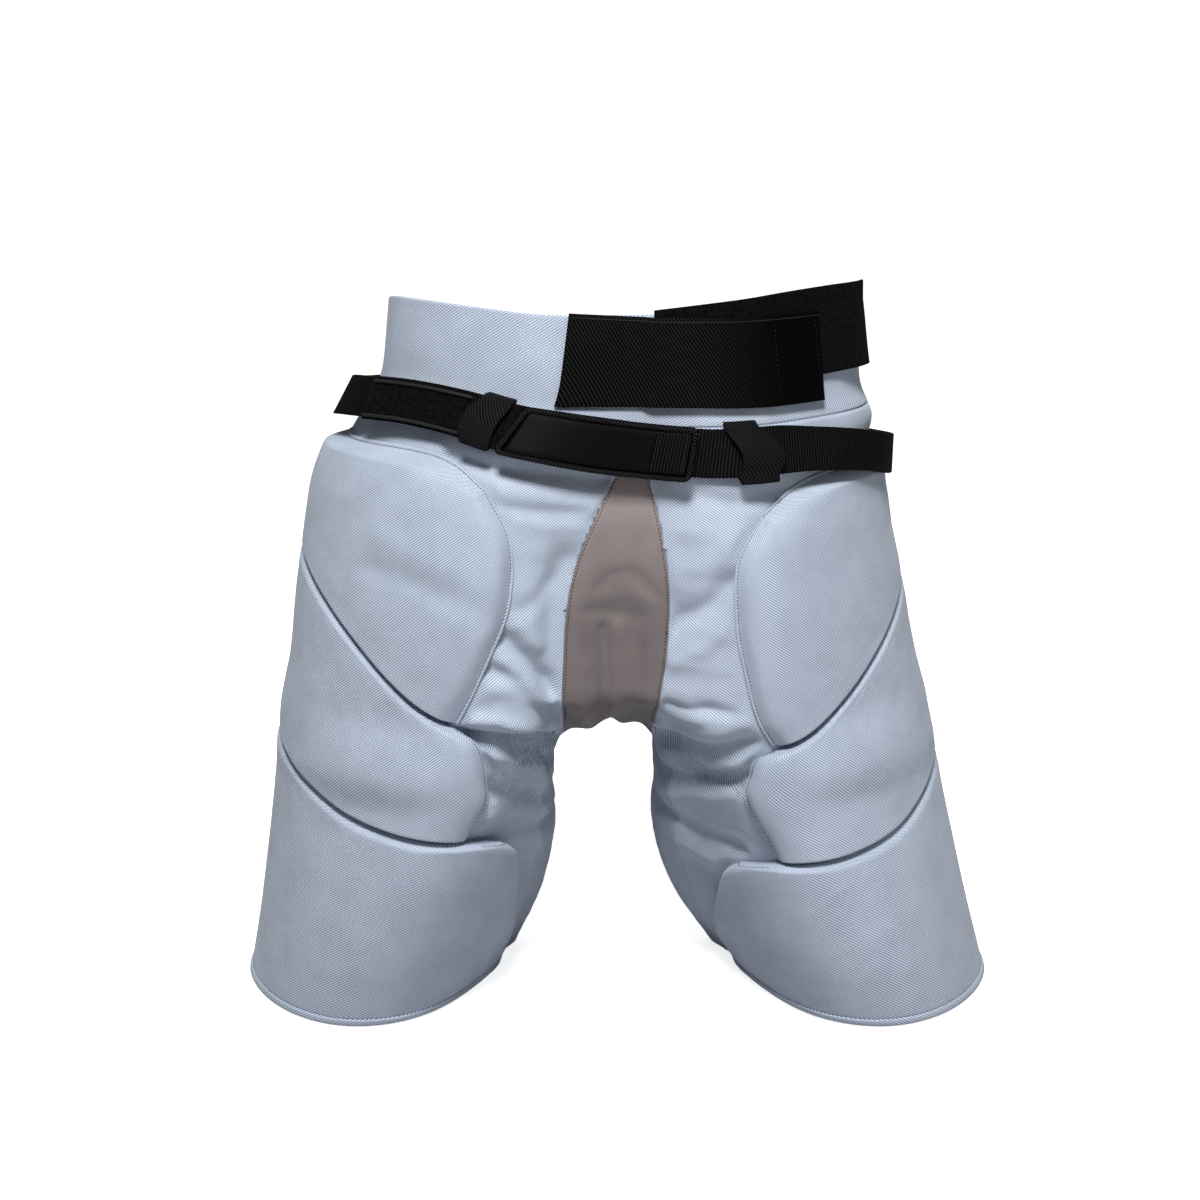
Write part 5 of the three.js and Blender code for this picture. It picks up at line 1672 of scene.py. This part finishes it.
# %% [markdown]
# ## Threads on the straps
# The elastic is sewn in two upright rows, the tab's roll is whip-stitched on the slant, and the cut edge of
# the loop panel frays. All of them are the same stitch again, longer or thinner and turned against its line.

# %% Lines along and across the straps
def across_elastic(along):
    """A line of the elastic's face from its lower to its upper edge."""
    height = np.linspace(BODY_HEIGHT + ELASTIC_RISE - ELASTIC_WIDTH + 3, BODY_HEIGHT + ELASTIC_RISE - 5, 30)
    line = hoop_point(along / waist_length, height, ELASTIC_OVER_PANEL + ELASTIC_THICKNESS)
    return line, outward_at_share(along / waist_length, height)


def along_belt(start, end, across, out, count=60):
    along = np.linspace(start, end, count)
    line = places_on_belt(along, np.full(count, float(across)), np.full(count, float(out)))
    return line, outward_at_share(along / belt_length, np.full(count, BELT_CENTRE))


def across_belt(along, half, out, count=12):
    across = np.linspace(-half, half, count)
    line = places_on_belt(np.full(count, float(along)), across, np.full(count, float(out)))
    return line, outward_at_share(np.full(count, along / belt_length), np.full(count, BELT_CENTRE))


print("height of a seam across the elastic:", round(float(np.ptp(across_elastic(85)[0][:, 2])), 1), "mm")

# %% Stitches of the elastic and the tab
ELASTIC_SEAMS = (85, 121)
elastic_row = stitch_row("elastic_stitches", [across_elastic(at) for at in ELASTIC_SEAMS], (1.6, 0.5, 0.4), 3.1,
                         sink=0.05)
band_face = TAB_LIFT + TAB_THICKNESS + 1.05
band_ends = (TAB_END - inset - TAB_END_BAND + 1.5, TAB_END - inset - TAB_END_BAND + 3.6, TAB_END - inset - 2.6)
band_row = stitch_row("tab_end_stitches", [across_belt(at, TAB_WIDTH / 2 - 2.5, band_face) for at in band_ends],
                      (1.5, 0.55, 0.5), 2.2)
whip_row = stitch_row("tab_whip_stitches", [(binding_crown, binding_outs)], (4.2, 0.75, 0.8), 2.0,
                      sink=0.45, turn=62)
print("stitches round the tab:", stitch_count(whip_row))

# %% Threads at the loop panel's cut edge
tail_height = np.linspace(0.02, 0.98, 40)
tail_share = np.full(40, LOOP_PANEL_END / waist_length)
tail_top = BODY_HEIGHT + LOOP_PANEL_RISE + math.tan(LOOP_PANEL_TILT) * (LOOP_PANEL_END - LOOP_PANEL_START)
tail_level = tail_top - LOOP_PANEL_WIDTH * (1 - tail_height)
tail_spots = hoop_point(tail_share + LOOP_PANEL_SLANT * (1 - tail_height) / waist_length, tail_level,
                        PANEL_LIFT + LOOP_PANEL_PEEL + LOOP_PANEL_THICKNESS / 2)
tail_outs = outward_at_share(tail_share, tail_level)
frayed = stitch_row("frayed_threads", [(tail_spots, tail_outs)], (2.6, 0.3, 0.3), 0.75, sink=0.1,
                    turn=90, spread=55)
print("threads at the cut edge:", stitch_count(frayed))

# %% [markdown]
# ## Piping
# The brushed strap has a thin piped edge, and the elastic a folded one. Each could be a curve with a bevel.
# Here a ring of points is swept along the line, so that the piece is a closed mesh like all the others.

# %% A piped line
PIPE_SIDES = 10


def piped_line(name, line, outs, radius, slot):
    """A round cord along a line of points, closed at both ends."""
    run = unit(np.gradient(line, axis=0))
    beside = unit(np.cross(outs, run))
    up = np.cross(run, beside)
    turn = np.linspace(0, 2 * math.pi, PIPE_SIDES + 1)[:-1]
    ring = line[:, None] + radius * (beside[:, None] * np.cos(turn)[None, :, None]
                                     + up[:, None] * np.sin(turn)[None, :, None])
    ids = np.arange(len(line) * PIPE_SIDES).reshape(len(line), PIPE_SIDES)
    around = np.roll(ids, -1, axis=1)
    faces = np.stack([ids[:-1], around[:-1], around[1:], ids[1:]], axis=-1).reshape(-1, 4).tolist()
    faces += [ids[0][::-1].tolist(), ids[-1].tolist()]
    return small_piece(name, ring.reshape(-1, 3), faces)


# %% Piping along the brushed strap and the elastic's upper edge
STRAP_PIPE_RADIUS = 1.1
STRAP_PIPE_OFF = 12.6
ELASTIC_FOLD_IN = 2.6
ELASTIC_FOLD_RADIUS = 0.32
strap_face = LOOP_STRAP_LIFT + LOOP_STRAP_THICKNESS + 0.35
strap_pipes = [piped_line(name, *along_belt(LOOP_STRAP_START + 2, KEEPER_LEFT - 20.5, across, strap_face, 90),
                          STRAP_PIPE_RADIUS, "webbing")
               for name, across in (("strap_piping_high", STRAP_PIPE_OFF), ("strap_piping_low", -STRAP_PIPE_OFF))]
edge_along = np.linspace(ELASTIC_START + 1.2, ELASTIC_END - 1.2, 90)
edge_height = elastic_top(edge_along) - ELASTIC_FOLD_IN
edge_lift = elastic_lift(edge_along) + ELASTIC_THICKNESS + 0.1
elastic_edge = piped_line("elastic_edge_line", hoop_point(edge_along / waist_length, edge_height, edge_lift),
                          outward_at_share(edge_along / waist_length, edge_height), ELASTIC_FOLD_RADIUS,
                          "elastic")
print("piping pieces:", len(strap_pipes) + 1)

# %% [markdown]
# ## Sheets of cloth
# Cloth keeps the area it was cut to, however it lies. The modelled area of each sheet is printed.

# %% The modelled area of each sheet of cloth
print("sheets:", [(p.name, round(measured(p), 4)) for p in (shell, crotch_panel, waistband, elastic, loop_panel)])

# %% [markdown]
# ## Finishes
# Every finish is made of nodes on the flat cloth's UV map, in metres, so each thread has its real size. A
# twill is a wave that runs across the cloth at an angle, broken by a finer wave for the single threads and
# by noise, and the same pattern drives the colour and a very low bump.

# %% A new finish and the flat cloth's coordinates
def add_node(tree, kind, **sockets):
    """A new node; a socket is named with _ for a space."""
    node = tree.nodes.new("ShaderNode" + kind)
    set_sockets(node, **sockets)
    return node


def set_sockets(node, **sockets):
    for name, value in sockets.items():
        node.inputs[name.replace("_", " ")].default_value = value


def connect(tree, *pairs):
    for out, into in pairs:
        tree.links.new(out, into)


def new_finish(name):
    finish = bpy.data.materials.new(name)
    finish.use_nodes = True
    return finish, finish.node_tree, finish.node_tree.nodes["Principled BSDF"]


def cloth_places(tree, turn=0.0):
    """The flat cloth's own coordinates, turned by an angle in degrees."""
    uv = add_node(tree, "UVMap")
    uv.uv_map = "flat_cloth"
    mapping = add_node(tree, "Mapping", Rotation=(0, 0, math.radians(turn)))
    connect(tree, (uv.outputs[0], mapping.inputs["Vector"]))
    return mapping.outputs[0]


# %% Ribs and patches
def ribs(tree, places, pitch_mm, wander=0.4):
    """Parallel ribs with a pitch in mm."""
    wave = add_node(tree, "TexWave", Scale=2 * math.pi / 20 / (pitch_mm * MM), Distortion=wander, Detail=1,
                    Detail_Scale=1.5)
    wave.wave_type, wave.bands_direction, wave.wave_profile = "BANDS", "X", "SIN"
    connect(tree, (places, wave.inputs["Vector"]))
    return wave.outputs["Fac"]


def cloudy(tree, places, size_mm, detail=2.0, rough=0.5):
    """Noise whose patches have about this size."""
    patches = add_node(tree, "TexNoise", Scale=1 / (size_mm * MM), Detail=detail, Roughness=rough)
    connect(tree, (places, patches.inputs["Vector"]))
    return patches.outputs["Fac"]


# %% Sums, mixed colours and relief
def sums(tree, kind, a, b, clamp=False):
    """One arithmetic step between two values, either of which may be a number."""
    step = add_node(tree, "Math")
    step.operation, step.use_clamp = kind, clamp
    for value, socket in ((a, step.inputs[0]), (b, step.inputs[1])):
        if isinstance(value, (int, float)):
            socket.default_value = value
        else:
            tree.links.new(value, socket)
    return step.outputs[0]


def plus(tree, a, b, clamp=False):
    return sums(tree, "ADD", a, b, clamp)


def minus(tree, a, b):
    return sums(tree, "SUBTRACT", a, b)


def times(tree, a, b, clamp=False):
    return sums(tree, "MULTIPLY", a, b, clamp)


def between(tree, factor, dark, light):
    """A colour between two colours."""
    mix = add_node(tree, "Mix")
    mix.data_type = "RGBA"
    for value, socket in ((dark, mix.inputs["A"]), (light, mix.inputs["B"])):
        if isinstance(value, tuple):
            socket.default_value = (*value, 1)
        else:
            tree.links.new(value, socket)
    tree.links.new(factor, mix.inputs["Factor"])
    return mix.outputs["Result"]


def relief(tree, shader, height, depth_mm, strength=1.0):
    bump = add_node(tree, "Bump", Strength=strength, Distance=depth_mm * MM)
    connect(tree, (height, bump.inputs["Height"]), (bump.outputs[0], shader.inputs["Normal"]))


def wear_finish(piece, finish):
    piece.data.materials.clear()
    piece.data.materials.append(finish)


# %% [markdown]
# ## Twill
# The shorts are a blue and white twill, whose diagonal lines show on every part. A picture of the weave would
# do, but a wave has no edge where it repeats and takes any pitch. The warm tint is the odd violet fibre.

# %% The blue-grey twill
TWILL_DARK = (0.072, 0.1, 0.148)
TWILL_LIGHT = (0.635, 0.728, 0.845)


def twill(name, dark, light, turn=50, pitch=1.55, depth=0.16, rough=0.82, sheen=0.12):
    finish, tree, shader = new_finish(name)
    places = cloth_places(tree, turn)
    plain = cloth_places(tree)
    diagonal = ribs(tree, places, pitch, 0.5)
    threads = ribs(tree, cloth_places(tree, turn + 78), pitch * 0.8, 0.4)
    weave = plus(tree, times(tree, diagonal, 0.88), times(tree, threads, 0.12))
    fibres = cloudy(tree, plain, 0.55, 2)
    patches = cloudy(tree, plain, 28, 3)
    tone = plus(tree, times(tree, weave, 0.8), times(tree, fibres, 0.3))
    tone = plus(tree, tone, times(tree, minus(tree, patches, 0.6), 0.25), clamp=True)
    tint = cloudy(tree, plain, 1.1, 1)
    colour = between(tree, tone, dark, light)
    violet = between(tree, times(tree, tint, 0.16), colour, (light[0] * 1.12, light[1] * 0.94, light[2]))
    connect(tree, (violet, shader.inputs["Base Color"]))
    set_sockets(shader, Roughness=rough, Sheen_Weight=sheen, Sheen_Roughness=0.5, Specular_IOR_Level=0.25)
    relief(tree, shader, plus(tree, weave, times(tree, fibres, 0.5)), depth, 0.55)
    return finish


shorts_twill = twill("shorts_twill_blue_grey", TWILL_DARK, TWILL_LIGHT)
pad_twill = twill("pad_twill_blue_grey", TWILL_DARK, TWILL_LIGHT)
waist_twill = twill("waistband_twill_blue_grey", (0.085, 0.115, 0.165), (0.63, 0.722, 0.84), turn=56, pitch=1.5)
print("nodes of the twill:", len(shorts_twill.node_tree.nodes))

# %% [markdown]
# ## Knit of the crotch panel
# A taupe stretch knit with upright wales. In the photograph it lies in shade below the belt, deeper than the
# lights here reach, so its colour is also darkened by height. That shade is painted and stays in any light.

# %% The taupe knit
def knit(name, dark, light):
    """A fine stretch knit: upright wales, a little sheen."""
    finish, tree, shader = new_finish(name)
    plain = cloth_places(tree)
    wales = ribs(tree, plain, 0.9, 0.3)
    courses = ribs(tree, cloth_places(tree, 90), 0.6, 0.3)
    loops = plus(tree, times(tree, wales, 0.7), times(tree, courses, 0.3))
    patches = cloudy(tree, plain, 16, 3)
    tone = plus(tree, times(tree, loops, 0.45), times(tree, patches, 0.5), clamp=True)
    place = add_node(tree, "TexCoord")
    split = add_node(tree, "SeparateXYZ")
    low = add_node(tree, "MapRange", From_Min=0.29, From_Max=0.365, To_Min=0.6, To_Max=1.0)
    connect(tree, (place.outputs["Object"], split.inputs[0]), (split.outputs["Z"], low.inputs["Value"]))
    shade = between(tree, low.outputs["Result"], (0.0, 0.0, 0.0), between(tree, tone, dark, light))
    connect(tree, (shade, shader.inputs["Base Color"]))
    set_sockets(shader, Roughness=0.55, Sheen_Weight=0.15, Specular_IOR_Level=0.35)
    relief(tree, shader, loops, 0.08, 0.5)
    return finish


crotch_knit = knit("crotch_knit_taupe", (0.165, 0.135, 0.135), (0.36, 0.305, 0.3))
print("nodes of the knit:", len(crotch_knit.node_tree.nodes))

# %% [markdown]
# ## Elastic, webbing and woven loops
# Black straps differ only in the direction, the pitch and the height of their ribs, so one function makes
# them all. On the elastic the pale threads fade towards its right end, which lies in shade in the photograph.

# %% Ribbed black straps
def ribbed(name, dark, light, turn, pitch, cross, depth, rough=0.6, fade=None):
    """Black elastic or webbing: ribs with a finer thread across them, which may fade out along the cloth as painted
    shade.
    """
    finish, tree, shader = new_finish(name)
    rib = ribs(tree, cloth_places(tree, turn), pitch, 0.25)
    thread = ribs(tree, cloth_places(tree, turn + 90), cross, 0.3)
    weave = plus(tree, times(tree, rib, 0.7), times(tree, thread, 0.3))
    fibres = cloudy(tree, cloth_places(tree), 0.6, 2)
    sharp = times(tree, minus(tree, weave, 0.35), 1.7, clamp=True)
    tone = times(tree, sharp, plus(tree, times(tree, fibres, 1.4), 0.1), clamp=True)
    # Painted shade: where a fade is given, the pale threads fade out along the cloth.
    if fade:
        split = add_node(tree, "SeparateXYZ")
        along = add_node(tree, "MapRange", From_Min=fade[0], From_Max=fade[1], To_Min=1.0, To_Max=0.18)
        connect(tree, (cloth_places(tree), split.inputs[0]), (split.outputs["X"], along.inputs["Value"]))
        tone = times(tree, tone, along.outputs["Result"])
    connect(tree, (between(tree, tone, dark, light), shader.inputs["Base Color"]))
    set_sockets(shader, Roughness=rough, Specular_IOR_Level=0.035)
    relief(tree, shader, weave, depth, 0.8)
    return finish


BLACK = (0.0001, 0.0001, 0.0001)
elastic_ribs = ribbed("elastic_black", BLACK, (0.017, 0.018, 0.0175), -32, 1.9, 1.5, 0.3, fade=(0.03, 0.085))
webbing_ribs = ribbed("webbing_black", (0.0002, 0.0002, 0.0002), (0.017, 0.017, 0.017), 0, 2.1, 1.3, 0.45)
keeper_weave = ribbed("keeper_weave_black", (0.0015, 0.0015, 0.0015), (0.022, 0.022, 0.0225), 48, 1.7, 1.2, 0.3)
roll_weave = ribbed("tab_roll_weave_black", (0.0003, 0.0003, 0.0003), (0.01, 0.01, 0.01), 48, 1.7, 1.2, 0.3)
print("nodes of the webbing:", len(webbing_ribs.node_tree.nodes))

# %% [markdown]
# ## Brushed loops
# The loop panel and the brushed strap have a pile with no weave. Hair would cost far more for a pile this
# short, so two sizes of noise give the tufts, and a bump stronger than that of the weaves gives their height.

# %% Brushed loops
def fleece(name, dark, light):
    """Brushed loops: a soft, uneven pile with no weave."""
    finish, tree, shader = new_finish(name)
    plain = cloth_places(tree)
    pile = cloudy(tree, plain, 0.8, 4, 0.7)
    tufts = cloudy(tree, plain, 3.2, 3, 0.6)
    lay = plus(tree, times(tree, pile, 0.6), times(tree, tufts, 0.55))
    tone = times(tree, minus(tree, lay, 0.45), 3.2, clamp=True)
    connect(tree, (between(tree, tone, dark, light), shader.inputs["Base Color"]))
    set_sockets(shader, Roughness=0.95, Sheen_Weight=0.01, Specular_IOR_Level=0.04)
    relief(tree, shader, lay, 0.7, 0.9)
    return finish


brushed_loops = fleece("brushed_loops_black", BLACK, (0.008, 0.008, 0.008))
print("nodes of the brushed loops:", len(brushed_loops.node_tree.nodes))

# %% [markdown]
# ## Rubber and thread
# The tab's face is moulded rubber with fine ribs and a grain. The threads are too thin to show a pattern, so
# each of their three colours is a plain finish.

# %% The tab's rubber
def tab_rubber(name):
    """Rubber with fine ribs across the tab."""
    finish, tree, shader = new_finish(name)
    rib = ribs(tree, cloth_places(tree), 2.3, 0.1)
    grain = cloudy(tree, cloth_places(tree), 0.7, 3)
    height = plus(tree, times(tree, rib, 0.3), grain)
    colour = between(tree, grain, (0.0003, 0.0003, 0.0003), (0.0045, 0.0045, 0.0048))
    connect(tree, (colour, shader.inputs["Base Color"]))
    set_sockets(shader, Roughness=0.5, Specular_IOR_Level=0.06)
    relief(tree, shader, height, 0.3, 0.7)
    return finish


rubber = tab_rubber("tab_rubber_black")
print("nodes of the rubber:", len(rubber.node_tree.nodes))


# %% Plain threads
def plain_thread(name, colour):
    finish, _, shader = new_finish(name)
    set_sockets(shader, Base_Color=(*colour, 1), Roughness=0.7, Specular_IOR_Level=0.2)
    return finish


dark_thread = plain_thread("thread_dark_grey", (0.055, 0.055, 0.06))
brown_thread = plain_thread("thread_dark_brown", (0.03, 0.024, 0.026))
black_thread = plain_thread("thread_black", (0.014, 0.014, 0.0145))
print("finishes:", len(bpy.data.materials))

# %% Put each finish on its pieces
WORN = (
    (dark_thread, thread_rows), (brown_thread, [panel_row]),
    (black_thread, [elastic_row, band_row, whip_row, frayed, elastic_edge, *strap_pipes]),
    (pad_twill, [*pads.values(), *hem_bands]), (shorts_twill, [shell]), (waist_twill, [waistband]),
    (crotch_knit, [crotch_panel]), (elastic_ribs, [elastic]), (brushed_loops, [loop_panel, loop_strap]),
    (webbing_ribs, [webbing, tab_end]), (roll_weave, [binding]), (rubber, [tab]),
    (keeper_weave, [left_keeper, right_keeper]),
)
for finish, pieces in WORN:
    for piece in pieces:
        wear_finish(piece, finish)
print("pieces finished:", sum(len(pieces) for _, pieces in WORN))

# %% [markdown]
# ## The floor
# The photograph has a white ground. A pale floor that glows a little for the camera only gives that, while
# the part is lit by a duller one, so that it doesn't look as if it stood on a lamp.

# %% Floor
FLOOR_GLOW = 0.78


def make_floor():
    bpy.ops.object.select_all(action="DESELECT")
    bpy.ops.mesh.primitive_plane_add(size=30, location=(0, 0, -0.0002))
    floor = bpy.context.active_object
    floor.name = "floor"
    paper, tree, shader = new_finish("pale_paper")
    set_sockets(shader, Base_Color=(0.75, 0.75, 0.75, 1), Roughness=0.9, Specular_IOR_Level=0.1)
    glow = add_node(tree, "Emission")
    place = add_node(tree, "TexCoord")
    away = add_node(tree, "VectorMath")
    away.operation = "LENGTH"
    reach = add_node(tree, "MapRange", From_Min=0.25, From_Max=0.75, To_Min=FLOOR_GLOW, To_Max=1.0)
    connect(tree, (place.outputs["Object"], away.inputs[0]), (away.outputs["Value"], reach.inputs["Value"]),
            (reach.outputs["Result"], glow.inputs["Strength"]))
    ray = add_node(tree, "LightPath")
    seen = add_node(tree, "MixShader")
    both = add_node(tree, "AddShader")
    dull = add_node(tree, "BsdfDiffuse", Color=(0.46, 0.46, 0.47, 1))
    connect(tree, (shader.outputs[0], both.inputs[0]), (glow.outputs[0], both.inputs[1]),
            (ray.outputs["Is Camera Ray"], seen.inputs[0]), (dull.outputs[0], seen.inputs[1]),
            (both.outputs[0], seen.inputs[2]), (seen.outputs[0], tree.nodes["Material Output"].inputs[0]))
    wear_finish(floor, paper)
    return floor


floor = make_floor()
print("floor:", round(floor.dimensions.x), "m wide")

# %% [markdown]
# ## Light
# The photograph is lit softly from above the camera. One large soft box gives that, a weak one from the right
# opens the shade there, and one behind lights the back for the other views. The sky is dim for the part and
# white for the camera.

# %% Light
SKY = 0.11
LAMPS = (
    # name, place, aimed at, size, watts
    ("softbox_above", (-0.12, -1.5, 2.35), (0, 0, 0.25), 0.6, 82),
    ("softbox_right", (1.6, -1.3, 0.9), (0, 0, 0.25), 1.0, 5),
    ("softbox_back", (0.1, 1.6, 1.6), (0, 0, 0.2), 1.6, 14),
)


def make_sky():
    world = bpy.data.worlds.new("studio")
    world.use_nodes = True
    tree = world.node_tree
    dim = tree.nodes["Background"]
    set_sockets(dim, Color=(0.93, 0.96, 1, 1), Strength=SKY)
    seen = add_node(tree, "Background", Color=(1, 1, 1, 1), Strength=1)
    ray = add_node(tree, "LightPath")
    mix = add_node(tree, "MixShader")
    connect(tree, (ray.outputs["Is Camera Ray"], mix.inputs[0]), (dim.outputs[0], mix.inputs[1]),
            (seen.outputs[0], mix.inputs[2]), (mix.outputs[0], tree.nodes["World Output"].inputs[0]))
    bpy.context.scene.world = world


def add_lamp(name, place, aim, size, watts):
    data = bpy.data.lights.new(name, "AREA")
    data.energy = watts
    data.size = size
    lamp = bpy.data.objects.new(name, data)
    lamp.location = place
    lamp.rotation_euler = (Vector(aim) - Vector(place)).to_track_quat("-Z", "Y").to_euler()
    bpy.context.scene.collection.objects.link(lamp)


make_sky()
for lamp in LAMPS:
    add_lamp(*lamp)
bpy.context.scene.view_settings.view_transform = "Standard"
print("soft boxes:", len(LAMPS))

# %% [markdown]
# ## Camera
# The camera stands where the photograph was taken from. Its place and tilt were fitted to the curves of the
# waist and the hems, which look flatter or rounder as the camera moves down or up.

# %% Camera
CAMERA_PLACE = (-0.0125, -1.4977, 0.652)
CAMERA_TILT = 75.9
camera_data = bpy.data.cameras.new("camera")
camera_data.lens = 67.5
camera_data.sensor_width = 36
camera = bpy.data.objects.new("camera", camera_data)
camera.location = CAMERA_PLACE
camera.rotation_euler = (math.radians(CAMERA_TILT), 0, 0)
bpy.context.scene.collection.objects.link(camera)
bpy.context.scene.camera = camera
print("camera:", CAMERA_PLACE, "tilted by", CAMERA_TILT, "degrees")
